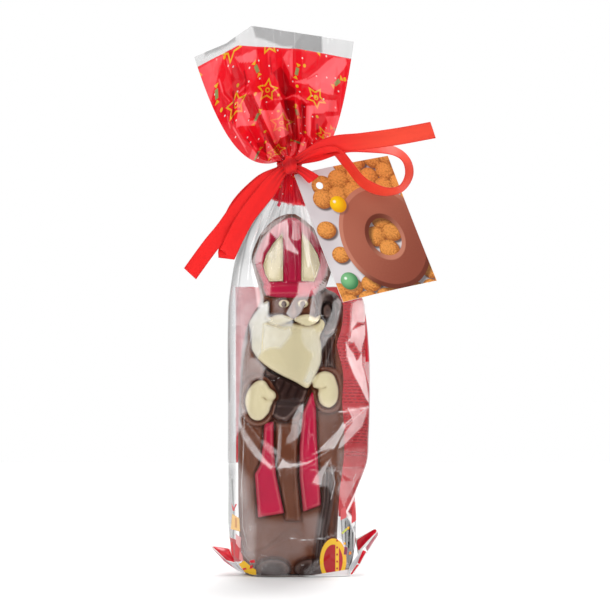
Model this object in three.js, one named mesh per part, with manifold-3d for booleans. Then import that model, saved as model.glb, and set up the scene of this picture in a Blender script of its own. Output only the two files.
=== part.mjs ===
// A hollow chocolate bishop figure standing in a clear block-bottom gift bag. The bag is gathered at a
// neck, opens into a pleated ruff above it and is tied with a satin ribbon bow that also holds a card.
// The closed bag is one solid that carries the figure's relief on its front, as seen through clear film.
// Millimetres, +Z up, front towards -Y, origin on the floor under the middle of the bag's flat bottom.
import * as THREE from "three";
import { mergeVertices } from "three/addons/utils/BufferGeometryUtils.js";
import Module from "manifold-3d";

// Driving dimensions
const BAG_HALF_WIDTH = 42.5;
const BAG_FRONT = 14.5;
const BAG_BACK = 22;
const BAG_SHOULDER_Z = 166;
const FIGURE_X = -3.5;
const FIGURE_HEIGHT = 212;
const FIGURE_HALF_WIDTH = 31.3;
const FIGURE_FRONT = 18;
const NECK_X = -4.5;
const NECK_Z = 244.5;
const NECK_RADIUS = 6.5;
const RUFF_Z = 250;
const RUFF_HALF_THICK = 4.4;
const PLEAT_COUNT = 5.5;
const PLEAT_DEPTH = 3.2;
const RIBBON_WIDTH = 10.5;
const RIBBON_THICK = 0.7;
const CARD_THICK = 0.8;
const CARD_HOLE_RADIUS = 2.3;

// Mesh density
const FRONT_STEPS = 46;
const BACK_STEPS = 10;
const BODY_ROWS = [[0, 3], [12, 4.5], [85, 2.7], [214, 4], [RUFF_Z, 4]];
const RUFF_STEPS = 30;
const RUFF_ROWS = 11;
const STRIP_STEP = 4.2;

const wasm = await Module();
wasm.setup();

const clamp = THREE.MathUtils.clamp;
const lerp = THREE.MathUtils.lerp;
const smooth = (low, high, value) => THREE.MathUtils.smoothstep(value, low, high);
const vec = (x, y, z) => new THREE.Vector3(x, y, z);

// A smooth function through [z, value] pairs, flat past both ends.
function through(pairs) {
  return (z) => {
    let i = pairs.findIndex(([height]) => height > z);
    if (i === 0) return pairs[0][1];
    if (i < 0) return pairs.at(-1)[1];
    const [z0, a] = pairs[i - 1];
    const [z1, b] = pairs[i];
    const slope = (j) => {
      const before = pairs[Math.max(j - 1, 0)];
      const after = pairs[Math.min(j + 1, pairs.length - 1)];
      return (after[1] - before[1]) / (after[0] - before[0]);
    };
    const h = z1 - z0;
    const t = (z - z0) / h;
    const t2 = t * t;
    const t3 = t2 * t;
    return (
      (2 * t3 - 3 * t2 + 1) * a +
      (t3 - 2 * t2 + t) * h * slope(i - 1) +
      (3 * t2 - 2 * t3) * b +
      (t3 - t2) * h * slope(i)
    );
  };
}

// A closed geometry through rings of points, all of one length, with both ends capped.
function loft(rings) {
  const count = rings[0].length;
  const positions = rings.flat().flatMap((p) => p.toArray());
  const index = [];
  for (let r = 0; r + 1 < rings.length; r++)
    for (let i = 0; i < count; i++) {
      const a = r * count + i;
      const b = r * count + ((i + 1) % count);
      index.push(a, b, b + count, a, b + count, a + count);
    }
  const last = (rings.length - 1) * count;
  for (const [ring, start, turned] of [[rings[0], 0, true], [rings.at(-1), last, false]])
    for (const [a, b, c] of capFaces(ring))
      index.push(start + a, start + (turned ? c : b), start + (turned ? b : c));
  const geometry = new THREE.BufferGeometry();
  geometry.setAttribute("position", new THREE.Float32BufferAttribute(positions, 3));
  geometry.setIndex(index);
  return geometry;
}

// Triangles that fill a ring, seen along its own axis so that they turn the way the ring does.
function capFaces(ring) {
  const middle = ring.reduce((sum, p) => sum.add(p), vec(0, 0, 0)).divideScalar(ring.length);
  const axis = vec(0, 0, 0);
  ring.forEach((p, i) => {
    const next = ring[(i + 1) % ring.length];
    axis.add(p.clone().sub(middle).cross(next.clone().sub(middle)));
  });
  axis.normalize();
  const side = Math.abs(axis.z) > 0.9 ? vec(1, 0, 0) : vec(0, 0, 1);
  const u = side.cross(axis).normalize();
  const v = axis.clone().cross(u);
  const flat = ring.map((p) => new THREE.Vector2(p.dot(u), p.dot(v)));
  return THREE.ShapeUtils.triangulateShape(flat, []).map((face) => {
    const [a, b, c] = face.map((i) => flat[i]);
    const turn = (b.x - a.x) * (c.y - a.y) - (b.y - a.y) * (c.x - a.x);
    return turn > 0 ? face : [face[0], face[2], face[1]];
  });
}

// A manifold solid of a closed geometry, turned outwards if its faces point in.
function solidFrom(geometry) {
  const bare = geometry.clone();
  bare.deleteAttribute("normal");
  bare.deleteAttribute("uv");
  const merged = mergeVertices(bare, 1e-3);
  const faces = new Uint32Array(merged.index.array);
  const solid = () =>
    new wasm.Manifold(
      new wasm.Mesh({
        numProp: 3,
        vertProperties: new Float32Array(merged.attributes.position.array),
        triVerts: faces,
      }),
    );
  const first = solid();
  if (first.volume() > 0) return first;
  for (let i = 0; i < faces.length; i += 3) [faces[i], faces[i + 1]] = [faces[i + 1], faces[i]];
  return solid();
}

function geometryFrom(solid) {
  const mesh = solid.getMesh();
  const geometry = new THREE.BufferGeometry();
  geometry.setAttribute("position", new THREE.BufferAttribute(mesh.vertProperties, 3));
  geometry.setIndex(new THREE.BufferAttribute(mesh.triVerts, 1));
  geometry.computeVertexNormals();
  return geometry;
}

function joined(geometries) {
  const [first, ...rest] = geometries.map(solidFrom);
  return geometryFrom(rest.reduce((sum, solid) => sum.add(solid), first));
}

// The figure's relief. Each form is a function of x, from the figure's middle, and z, above its foot.

// Signed distance from a point to a closed outline, positive inside.
function inside(outline, x, z) {
  let nearest = Infinity;
  let within = false;
  outline.forEach(([ax, az], i) => {
    const [bx, bz] = outline[(i + 1) % outline.length];
    const t = clamp(
      ((x - ax) * (bx - ax) + (z - az) * (bz - az)) / ((bx - ax) ** 2 + (bz - az) ** 2), 0, 1,
    );
    nearest = Math.min(nearest, Math.hypot(x - lerp(ax, bx, t), z - lerp(az, bz, t)));
    if (az > z !== bz > z && x < ax + ((z - az) / (bz - az)) * (bx - ax)) within = !within;
  });
  return within ? nearest : -nearest;
}

// A flat raised field with a soft edge.
const plate = (outline, height, edge) => (x, z) => height * smooth(-edge / 2, edge, inside(outline, x, z));

// A pillow over an outline, rising over a given distance from its edge.
const pillow = (outline, height, rise) => (x, z) => {
  const t = clamp(inside(outline, x, z) / rise, 0, 1);
  return height * Math.sqrt(t * (2 - t));
};

// An egg-shaped bump, turned in the picture plane.
const egg = (cx, cz, rx, rz, height, turn = 0) => (x, z) => {
  const c = Math.cos(turn);
  const s = Math.sin(turn);
  const u = ((x - cx) * c + (z - cz) * s) / rx;
  const v = ((z - cz) * c - (x - cx) * s) / rz;
  return height * Math.sqrt(Math.max(0, 1 - u * u - v * v));
};

const figureLeft = through([
  [0, 28.5], [8, 30], [24, 31], [60, 31.6], [93, FIGURE_HALF_WIDTH], [116, 30.3], [133, 29], [146, 26.6],
  [155, 23], [163, 18.6], [171, 19.6], [180, 22], [188, 23.2], [197, 21], [204, 16.5], [209, 11], [212, 4],
]);
const figureRight = through([
  [0, 27], [16, 27.8], [32, 28.5], [50, 29.6], [62, 31], [93, FIGURE_HALF_WIDTH], [120, 31], [131, 28.5],
  [140, 28.5], [152, 31], [163, 29.6], [169, 21.5], [176, 22.6], [184, 24], [193, 21.8], [203, 15.5],
  [209, 9.5], [212, 4],
]);
const figureDepth = through([
  [0, 18], [10, FIGURE_FRONT], [150, FIGURE_FRONT], [168, 19], [190, 17], [205, 12], [212, 5],
]);

const mitre = [
  [-12.3, 166], [-18.5, 178], [-21.2, 186], [-19.5, 193], [-13.5, 202], [-7, 207.5], [0.8, 210],
  [7.5, 208], [14, 202], [20, 193], [22, 186], [20.5, 178], [13, 166],
];
const leftPanel = [[-12.4, 170.5], [-4, 171.2], [-4.4, 198.5], [-9, 194], [-15, 186.5], [-16.2, 181]];
const rightPanel = [[5.4, 171], [14.2, 172], [16.6, 181], [15.6, 186.5], [11, 194], [6.4, 198.5]];
const face = [[-13, 150], [14.5, 150], [14.5, 167], [-13, 167]];
const beard = [
  [-15.5, 161], [-20, 155], [-24.5, 147], [-23.4, 134], [-19, 127.5], [-12, 122], [-4, 117], [5.5, 113.4],
  [10.6, 111.8], [14, 116], [18, 126], [18.4, 136], [17.5, 142], [20, 149], [16, 160], [14, 152], [-13, 152],
];
const leftStole = [
  [-15.8, 88], [-10.6, 88], [-10.6, 76], [-9, 59], [-4.2, 36.4], [-19.4, 34.4], [-21, 59], [-17.6, 69],
  [-15.9, 79],
];
const rightStole = [[12.4, 108], [15, 108], [15.4, 80], [18, 41], [7.5, 38], [5.2, 73], [6.8, 95]];
const book = [[-16, 120], [-15, 101], [-12, 91.5], [1, 91], [6, 97], [13, 112], [10, 118]];

const raised = [
  plate(mitre, 2, 1.5),
  pillow(beard, 6.5, 11),
  egg(-7.6, 149.4, 8.4, 3.9, 8.6, -0.12),
  egg(8.6, 149.8, 8.4, 3.9, 8.6, 0.12),
  egg(0.6, 155, 2.8, 3.6, 5),
  egg(-18.6, 102, 9.2, 11.8, 8.5, -0.15),
  egg(21, 108.5, 7.8, 10.8, 8.5, 0.35),
  pillow(book, 4.2, 3),
  plate(leftStole, 2.6, 1.6),
  plate(rightStole, 2.6, 1.6),
  egg(23, 152, 7.6, 12.6, 6),
  pillow([[20, 140], [20, 117], [25, 117], [25, 140]], 3.4, 2.4),
  pillow([[19, 92], [17.6, 2], [23, 2], [24.6, 92]], 3, 2.4),
  egg(-10, 3.6, 9.4, 6, 6.5),
  egg(12, 3.6, 9.4, 6, 6.5),
];
const sunk = [plate(leftPanel, 1.6, 1.2), plate(rightPanel, 1.6, 1.2), plate(face, 2.6, 1.6)];
const highest = (forms, x, z) => Math.max(...forms.map((form) => form(x, z)));

// How far the figure's front stands before the middle plane, or 0 beside it.
function figureFront(x, z) {
  const edge = x < 0 ? figureLeft(z) : figureRight(z);
  const s = Math.abs(x) / edge;
  if (s >= 1 || z > FIGURE_HEIGHT) return 0;
  const body = figureDepth(z) * (1 - s ** 4) ** 0.5;
  const rim = smooth(0, 0.12, 1 - s);
  return body + rim * (highest(raised, x, z) - highest(sunk, x, z));
}

// The closed bag below its neck
const bagLeft = through([
  [0, 29], [5.5, 35.5], [20, 40.5], [57, 41.4], [150, 41.2], [170, 38.6], [186, 35.5], [199, 31.4],
  [215, 22.8], [226, 16.5], [235, 12.6], [239, 11], [NECK_Z, 11],
]);
const bagRight = through([
  [0, 31], [18, 34.5], [36, 35.8], [48, 35.4], [60, 39.2], [80, BAG_HALF_WIDTH], [137, BAG_HALF_WIDTH],
  [156, 41], [BAG_SHOULDER_Z, 38], [172, 31], [180, 23], [190, 18.4], [204, 13], [220, 7.6], [233, 3.4],
  [239, 2], [NECK_Z, 2],
]);
const bagFront = through([
  [0, BAG_FRONT + 1], [12, BAG_FRONT + 0.5], [40, BAG_FRONT], [150, BAG_FRONT], [180, 13.5], [210, 10.5],
  [228, 8], [239, NECK_RADIUS], [NECK_Z, NECK_RADIUS],
]);
const bagBack = through([
  [0, BAG_BACK - 3], [6, BAG_BACK - 1], [30, BAG_BACK], [150, BAG_BACK], [180, 19], [210, 13],
  [228, 8.5], [239, NECK_RADIUS], [NECK_Z, NECK_RADIUS],
]);

// How boxy the bag's section is: a squared tube below the shoulder, round at the neck.
const bagPower = through([[0, 7], [150, 6], [190, 3.2], [225, 2.2], [239, 2]]);

function bagRing(z) {
  const left = -bagLeft(z);
  const right = bagRight(z);
  const power = bagPower(z);
  const point = (s, depth) => {
    const x = lerp(left, right, (s + 1) / 2);
    return vec(x, depth * (1 - Math.abs(s) ** power) ** (1 / power), z);
  };
  const spread = (t, share) => lerp(Math.sin((t * Math.PI) / 2), t, share);
  const ring = [];
  for (let i = 0; i < FRONT_STEPS; i++) {
    const p = point(spread((2 * i) / FRONT_STEPS - 1, 0.75), -bagFront(z));
    const relief = figureFront(p.x - FIGURE_X, z);
    p.y = Math.min(p.y, -relief);
    ring.push(p);
  }
  for (let i = 0; i < BACK_STEPS; i++)
    ring.push(point(spread(1 - (2 * i) / BACK_STEPS, 0.35), bagBack(z)));
  return ring;
}

function bagBody() {
  const rings = [bagRing(0)];
  for (let i = 0; i + 1 < BODY_ROWS.length; i++) {
    const [low, step] = BODY_ROWS[i];
    const [high] = BODY_ROWS[i + 1];
    const rows = Math.ceil((high - low) / step);
    for (let r = 1; r <= rows; r++) rings.push(bagRing(lerp(low, high, r / rows)));
  }
  return loft(rings);
}

// The ruff: rays that leave the neck, bow outwards and reach the cut top edge.
const topEdge = (share) =>
  vec(
    through([[0, -61.4], [0.35, -27.5], [0.66, 2.3], [1, 34.2]])(share), 0,
    through([[0, 310], [0.35, 329], [0.66, 324], [1, 319.5]])(share),
  );

function ruffPoint(share, rise, side) {
  const across = 2 * share - 1;
  const start = vec(NECK_X + across * (NECK_RADIUS - 1), 0, RUFF_Z - 0.5);
  const out = vec(lerp(-34, 20, share), 0, lerp(262, lerp(240, 244, share), across * across));
  const bow = vec(lerp(-50, 26, share), 0, lerp(285, lerp(262, 272, share), across * across));
  const line = new THREE.CubicBezierCurve3(start, out, bow, topEdge(share));
  const p = line.getPoint(rise);
  const round = Math.sqrt(Math.max(0, 1 - across * across));
  const thick = lerp(NECK_RADIUS - 1, RUFF_HALF_THICK, smooth(0, 0.4, rise));
  const pleat = PLEAT_DEPTH * smooth(0.08, 0.5, rise) * Math.cos(2 * Math.PI * PLEAT_COUNT * share + 0.6);
  p.y = side * thick * round + pleat * Math.min(1, 1.6 * round);
  return p;
}

function ruff() {
  const rings = [];
  for (let r = 0; r <= RUFF_ROWS; r++) {
    const ring = [];
    for (let i = 0; i < RUFF_STEPS; i++) ring.push(ruffPoint(i / RUFF_STEPS, r / RUFF_ROWS, -1));
    for (let i = 0; i < RUFF_STEPS; i++) ring.push(ruffPoint(1 - i / RUFF_STEPS, r / RUFF_ROWS, 1));
    rings.push(ring);
  }
  return loft(rings);
}

// A folded corner flap of the block bottom: two points on the bag's foot and an outer tip.
function cornerFlap(near, far, tip) {
  const lift = vec(0, 0, 1.4);
  const ring = [near, tip, far];
  return loft([ring, ring.map((p) => p.clone().add(lift))]);
}

function bagGeometry() {
  return joined([
    bagBody(),
    ruff(),
    cornerFlap(vec(-31, -14, 1), vec(-36, 10, 12), vec(-51.5, -4, 16)),
    cornerFlap(vec(36, 10, 16), vec(29, -14, 0.6), vec(49.5, -4, 25)),
  ]);
}

// The ribbon: a band round the neck, a knot, and flat strips that leave the knot.

// A flat strip along a smooth line. Each point is [x, y, z, tilt], where tilt turns the strip's width from
// lying in the picture plane, 0, to pointing at the viewer, 1.
function strip(points, width = RIBBON_WIDTH) {
  const line = new THREE.CatmullRomCurve3(points.map(([x, y, z]) => vec(x, y, z)), false, "centripetal");
  const steps = Math.ceil(line.getLength() / STRIP_STEP);
  const rings = [];
  for (let i = 0; i <= steps; i++) {
    const t = i / steps;
    const along = line.getTangent(t);
    const at = t * (points.length - 1);
    const k = Math.min(Math.floor(at), points.length - 2);
    const turn = (lerp(points[k][3], points[k + 1][3], at - k) * Math.PI) / 2;
    const flat = vec(-along.z, 0, along.x).normalize();
    const out = flat.clone().multiplyScalar(Math.cos(turn)).add(vec(0, -Math.sin(turn), 0));
    const across = out.sub(along.clone().multiplyScalar(out.dot(along))).normalize();
    const narrow = i === 0 ? 0.6 : 1;
    const half = across.clone().multiplyScalar((width * narrow) / 2);
    const face = across.clone().cross(along).multiplyScalar(RIBBON_THICK / 2);
    const middle = line.getPoint(t);
    rings.push(
      [[1, 1], [-1, 1], [-1, -1], [1, -1]].map(([a, b]) =>
        middle.clone().addScaledVector(half, a).addScaledVector(face, b),
      ),
    );
  }
  return loft(rings);
}

function neckBand() {
  const inner = NECK_RADIUS + 0.35;
  const outer = inner + 1.1;
  const half = 3.2;
  const profile = [[inner, -half], [outer, -half], [outer, half], [inner, half], [inner, -half]];
  const band = new THREE.LatheGeometry(profile.map(([r, z]) => new THREE.Vector2(r, z)), 20);
  return band.rotateX(Math.PI / 2).translate(NECK_X, 0, NECK_Z);
}

const KNOT = vec(NECK_X + 0.4, -11.4, NECK_Z + 1.5);

function knot() {
  const ball = new THREE.SphereGeometry(1, 14, 10);
  return ball.scale(4.8, 4.4, 4.2).translate(KNOT.x, KNOT.y, KNOT.z);
}

function ribbonGeometry() {
  const { x, y, z } = KNOT;
  const rightTail = [
    [x, y - 1, z, 0.5], [10, -15, 254, 0.45], [22, -16, 258, 0.3], [38, -15, 260, 0.05],
    [60, -13, 263, 0.05], [81, -11, 266.6, 0.05],
  ];
  const rightLoop = [
    [x, y, z, 0.4], [12, -13, 252, 0.4], [23, -14, 253.5, 0.4], [30, -14, 244.4, 0.45],
    [37.2, -13.4, 237, 0.5], [42.3, -13, 233.6, 0.55], [52.8, -12, 230, 0.6], [62.1, -11, 232, 0.6],
    [67, -9.5, 240.5, 0.6], [65.2, -8.8, 249, 0.6], [58, -9, 255, 0.5], [30, -10.5, 257.5, 0.35],
    [x, y + 1, z + 1, 0.35],
  ];
  const leftLoop = [
    [x, y - 1, z, 0.2], [-10, -14.5, 240.5, 0.1], [-18, -17, 232.5, 0.05], [-30, -17, 218.5, 0.05],
    [-36.6, -15, 205, 0], [-40.6, -12, 195, 0], [-41.4, -9.6, 192.6, 0], [-40.2, -7.4, 195.5, 0],
    [-35.6, -6, 207, 0], [-28, -7, 222, 0.05], [-14, -9.6, 238, 0.1], [x, y + 1, z, 0.2],
  ];
  const leftTail = [
    [x, y + 0.4, z, 0.2], [-17, -13.4, 238.5, 0.1], [-30.5, -13.6, 229, 0], [-38.5, -13.2, 217, 0],
    [-43.4, -12.8, 208, 0], [-50.5, -12, 199, 0], [-64, -10.6, 181, 0],
  ];
  const stub = [[x, y - 1, z - 0.6, 0.2], [2.5, -13.6, 241, 0.1], [11.4, -11, 234.6, 0.1]];
  return joined([
    neckBand(), knot(), strip(rightTail), strip(rightLoop, RIBBON_WIDTH - 1.5), strip(leftLoop),
    strip(leftTail, RIBBON_WIDTH - 1.5), strip(stub, RIBBON_WIDTH - 3),
  ]);
}

// The card hangs by its top left corner, leans on the bag's shoulder and turns back to the right.
const CARD_CORNER = vec(-1.4, -9.4, 240.2);
const CARD_ACROSS = vec(56.4, 32, 11.2);
const CARD_DOWN = vec(29.8, -24, -74.4);
const CARD_HOLE = [0.2, 0.12];

function cardMesh(material) {
  const width = CARD_ACROSS.length();
  const height = CARD_DOWN.length();
  const outline = new THREE.Shape([
    new THREE.Vector2(0, 0), new THREE.Vector2(width, 0), new THREE.Vector2(width, height),
    new THREE.Vector2(0, height),
  ]);
  const hole = new THREE.Path();
  hole.absarc(CARD_HOLE[0] * width, CARD_HOLE[1] * height, CARD_HOLE_RADIUS, 0, 2 * Math.PI, true);
  outline.holes.push(hole);
  const geometry = new THREE.ExtrudeGeometry(outline, {
    depth: CARD_THICK, bevelEnabled: false, curveSegments: 16,
  });
  const mesh = new THREE.Mesh(geometry, material);
  const across = CARD_ACROSS.clone().normalize();
  const back = across.clone().cross(CARD_DOWN).normalize();
  const down = back.clone().cross(across);
  mesh.quaternion.setFromRotationMatrix(new THREE.Matrix4().makeBasis(across, down, back));
  mesh.position.copy(CARD_CORNER).addScaledVector(back, -CARD_THICK / 2);
  mesh.name = "card";
  return mesh;
}

const finish = (color, roughness) => new THREE.MeshStandardMaterial({ color, roughness, metalness: 0 });

function named(name, geometry, material) {
  const mesh = new THREE.Mesh(geometry, material);
  mesh.name = name;
  return mesh;
}

const root = new THREE.Group();
root.add(named("bag", bagGeometry(), finish(0x8a5f4f, 0.25)));
root.add(named("ribbon", ribbonGeometry(), finish(0xe8221c, 0.45)));
root.add(cardMesh(finish(0xa9695a, 0.35)));

export default root;
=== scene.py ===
"""A hollow chocolate bishop figure in a clear gift bag with a red ruff, a satin bow and a hanging card.

Shapes are worked out in millimetres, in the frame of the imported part: +Z up, the figure's front towards -Y,
the origin on the floor under the middle of the bag. Only the last step of each mesh turns them into metres.
"""
import math

import bpy
import numpy as np
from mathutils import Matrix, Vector, geometry


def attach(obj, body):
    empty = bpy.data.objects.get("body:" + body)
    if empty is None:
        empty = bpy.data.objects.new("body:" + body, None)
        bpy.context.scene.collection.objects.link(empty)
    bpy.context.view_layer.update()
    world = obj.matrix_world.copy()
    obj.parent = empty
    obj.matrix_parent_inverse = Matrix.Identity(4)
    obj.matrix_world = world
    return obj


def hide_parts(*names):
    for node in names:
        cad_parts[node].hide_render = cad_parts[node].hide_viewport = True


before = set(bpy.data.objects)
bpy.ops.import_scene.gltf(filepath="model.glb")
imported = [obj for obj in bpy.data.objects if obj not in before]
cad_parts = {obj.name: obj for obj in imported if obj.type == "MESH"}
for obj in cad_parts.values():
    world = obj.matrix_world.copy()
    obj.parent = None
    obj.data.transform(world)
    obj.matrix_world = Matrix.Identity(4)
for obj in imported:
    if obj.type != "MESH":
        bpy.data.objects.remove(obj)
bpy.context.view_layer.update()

MM = 0.001
BODY = "root"

# Driving sizes, in millimetres
FIGURE_X = -3.6
FIGURE_Z = 1.2
FIGURE_HEIGHT = 215.4
FIGURE_FRONT = 15.5
FIGURE_BACK = 14.0
NECK_X = -4.5
NECK_Z = 244.5
NECK_RADIUS = 6.5
RUFF_Z = 249.0
FILM_GAP = 0.35
RIBBON_WIDTH = 10.2
RIBBON_THICK = 0.28
CARD_THICK = 0.5

# Colours, linear
MILK = (0.140, 0.042, 0.018)
DARK = (0.024, 0.0066, 0.0044)
WHITE = (0.68, 0.60, 0.38)
CRIMSON = (0.48, 0.004, 0.046)
PRINT_RED = (0.88, 0.006, 0.018)
PRINT_GOLD = (0.84, 0.50, 0.02)
PRINT_GREEN = (0.30, 0.36, 0.12)
PRINT_WHITE = (0.9, 0.86, 0.82)
BAUBLE_RED = (0.42, 0.006, 0.012)
LABEL_RED = (0.64, 0.034, 0.044)
LABEL_INK = (0.22, 0.008, 0.014)
NECK_RED = (0.52, 0.004, 0.024)
RIBBON_RED = (0.91, 0.014, 0.013)
# Painted light of the ribbon: the tint of its lit right side and the tint of its painted shade.
RIBBON_LIT = (0.92, 0.070, 0.036)
RIBBON_SHADE = (0.42, 0.004, 0.008)
SELVEDGE_RED = (0.55, 0.012, 0.012)
RIM_WHITE = (0.86, 0.84, 0.83)
BLACK = (0.0, 0.0, 0.0)


# Numbers

def smoothstep(low, high, value):
    t = np.clip((value - low) / (high - low), 0, 1)
    return t * t * (3 - 2 * t)


def lerp(a, b, t):
    return a + (b - a) * t


def through(pairs):
    """A smooth function through (at, value) pairs, flat past both ends."""
    at, value = (np.array(column, float) for column in zip(*pairs))
    slope = np.gradient(value, at)

    def curve(x):
        x = np.clip(np.asarray(x, float), at[0], at[-1])
        i = np.clip(np.searchsorted(at, x, side="right") - 1, 0, len(at) - 2)
        h = at[i + 1] - at[i]
        t = (x - at[i]) / h
        return ((2 * t**3 - 3 * t**2 + 1) * value[i] + (t**3 - 2 * t**2 + t) * h * slope[i]
                + (3 * t**2 - 2 * t**3) * value[i + 1] + (t**3 - t**2) * h * slope[i + 1])

    return curve


def spline(points, count):
    """Points spread evenly along a smooth open line through the given points."""
    knots = np.array(points, float)
    steps = np.concatenate([[0], np.cumsum(np.linalg.norm(np.diff(knots, axis=0), axis=1) ** 0.5)])
    at = np.linspace(0, steps[-1], 40 * len(knots))
    fine = np.stack([through(list(zip(steps, knots[:, k])))(at) for k in range(knots.shape[1])], axis=1)
    length = np.concatenate([[0], np.cumsum(np.linalg.norm(np.diff(fine, axis=0), axis=1))])
    even = np.linspace(0, length[-1], count)
    return np.stack([np.interp(even, length, fine[:, k]) for k in range(knots.shape[1])], axis=1)


def blurred(field, rows, columns):
    """A field smoothed by a bell of the given widths, in cells."""
    for axis, width in ((0, rows), (1, columns)):
        reach = int(3 * width) + 1
        bell = np.exp(-0.5 * (np.arange(-reach, reach + 1) / width) ** 2)
        bell /= bell.sum()
        pad = [(reach, reach) if k == axis else (0, 0) for k in (0, 1)]
        padded = np.pad(field, pad, mode="edge")
        field = np.apply_along_axis(lambda line: np.convolve(line, bell, mode="valid"), axis, padded)
    return field


# Outlines in the picture plane

# How far outside an outline a distance to it is still measured, in mm.
FAR = 9.0
# Points of a smooth outline for each given one, and points of an ellipse.
ROUNDED_STEPS = 5
ELLIPSE_STEPS = 28


def rounded(points):
    """A smooth closed outline through the points."""
    p = np.array(points, float)
    a, b, c, d = (np.roll(p, k, axis=0) for k in (1, 0, -1, -2))
    out = []
    for t in np.arange(ROUNDED_STEPS) / ROUNDED_STEPS:
        bend = (2 * a - 5 * b + 4 * c - d) * t**2 + (3 * b - a - 3 * c + d) * t**3
        out.append(0.5 * (2 * b + (c - a) * t + bend))
    return np.stack(out, axis=1).reshape(-1, 2)


def ellipse(cx, cz, rx, rz, turn=0.0):
    angle = np.linspace(0, 2 * math.pi, ELLIPSE_STEPS, endpoint=False)
    u, v = rx * np.cos(angle), rz * np.sin(angle)
    return np.stack([cx + u * math.cos(turn) - v * math.sin(turn),
                     cz + u * math.sin(turn) + v * math.cos(turn)], axis=1)


def nearest(line, x, z):
    """Distance in mm to an open line."""
    best = np.full(x.shape, 1e3)
    for (ax, az), (bx, bz) in zip(line[:-1], line[1:]):
        ex, ez = bx - ax, bz - az
        t = np.clip(((x - ax) * ex + (z - az) * ez) / (ex * ex + ez * ez), 0, 1)
        best = np.minimum(best, np.hypot(x - ax - t * ex, z - az - t * ez))
    return best


def tent(x, z, line, width):
    """1 on an open line, falling straight to 0 at the given distance."""
    return np.maximum(0, 1 - nearest(line, x, z) / width)


def inside(outline, x, z):
    """Distance to a closed outline in mm, positive inside, and no lower than -FAR outside."""
    outline = np.asarray(outline, float)
    low, high = outline.min(0) - FAR, outline.max(0) + FAR
    near = (x > low[0]) & (x < high[0]) & (z > low[1]) & (z < high[1])
    px, pz = x[near], z[near]
    best = np.minimum(FAR, nearest([*outline, outline[0]], px, pz))
    within = np.zeros(px.shape, bool)
    for (ax, az), (bx, bz) in zip(outline, np.roll(outline, -1, axis=0)):
        if az != bz:
            within ^= ((az > pz) != (bz > pz)) & (px < ax + (pz - az) / (bz - az) * (bx - ax))
    out = np.full(x.shape, -FAR)
    out[near] = np.where(within, best, -best)
    return out


def facets(table, x, z, soft):
    """The value of each facet inside its outline, the one furthest from zero where they overlap."""
    out = np.zeros(x.shape)
    for value, outline in table:
        field = value * smoothstep(-soft, soft, inside(outline, x, z))
        out = np.where(np.abs(field) > np.abs(out), field, out)
    return out


# Meshes

def grid_faces(rows, columns, closed=False):
    r, c = np.meshgrid(np.arange(rows - 1), np.arange(columns if closed else columns - 1), indexing="ij")
    a = r * columns + c
    b = r * columns + (c + 1) % columns
    return np.stack([a, b, b + columns, a + columns], axis=-1).reshape(-1, 4)


def tube_faces(rows, columns):
    """The faces of a tube of rings, with a lid on both ends."""
    first, last = list(range(columns)), [(rows - 1) * columns + k for k in range(columns)]
    return [*grid_faces(rows, columns, closed=True).tolist(), first[::-1], last]


def joined(*fields):
    """One row for each point, from a field for each of its numbers."""
    return np.stack(np.broadcast_arrays(*fields), axis=-1).reshape(-1, len(fields))


def merged(forms):
    """Several forms of points, faces and a value for each point, as one."""
    points, faces, values = [], [], []
    for form_points, form_faces, form_values in forms:
        shift = sum(map(len, points))
        points.append(form_points)
        faces += [[k + shift for k in face] for face in form_faces]
        values.append(form_values)
    return np.concatenate(points), faces, np.concatenate(values)


def thickened(sheet, side, edges, out, thick):
    """A sheet of quads with a thickness: its points, and the faces of its front, its back and its rim."""
    count = len(sheet)
    walls = np.array([[a, b, b + count, a + count] for a, b in edges])
    corner, along, _, beside = sheet[side[0]]
    if np.cross(along - corner, beside - corner) @ out < 0:
        side, walls = side[:, ::-1], walls[:, ::-1]
    points = np.concatenate([sheet + out * thick / 2, sheet - out * thick / 2])
    return points, [*side.tolist(), *(side[:, ::-1] + count).tolist(), *walls[:, ::-1].tolist()]


def placed(name, data):
    thing = bpy.data.objects.new(name, data)
    bpy.context.scene.collection.objects.link(thing)
    return thing


def mesh_piece(name, points, faces, materials, layers=None, uv=None, face_material=None):
    """A smooth-shaded object from points in mm, that rides on the part's body."""
    mesh = bpy.data.meshes.new(name)
    mesh.from_pydata((np.asarray(points, float) * MM).tolist(), [], [list(map(int, face)) for face in faces])
    for material in materials:
        mesh.materials.append(material)
    mesh.polygons.foreach_set("use_smooth", np.ones(len(mesh.polygons), bool))
    for label, values in (layers or {}).items():
        attribute = mesh.attributes.new(label, "FLOAT", "POINT")
        attribute.data.foreach_set("value", np.asarray(values, np.float32).ravel())
    if uv is not None:
        corner = np.zeros(len(mesh.loops), np.int32)
        mesh.loops.foreach_get("vertex_index", corner)
        mesh.uv_layers.new(name="UVMap").data.foreach_set("uv", np.asarray(uv, np.float32)[corner].ravel())
    if face_material is not None:
        mesh.polygons.foreach_set("material_index", np.asarray(face_material, np.int32))
    mesh.update()
    piece = placed(name, mesh)
    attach(piece, BODY)
    return piece


# Materials

def put(tree, slot, value):
    """Set a node's input: to a number, a vector or a colour, or to what another node gives."""
    if isinstance(value, Num):
        value = value.socket
    if isinstance(value, bpy.types.NodeSocket):
        tree.links.new(value, slot)
    elif slot.type == "RGBA":
        slot.default_value = (*value, 1.0)
    else:
        slot.default_value = value


def formula(operation):
    """A method that makes a node of one operation."""
    return lambda self, *others: self.call(operation, *others)


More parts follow.
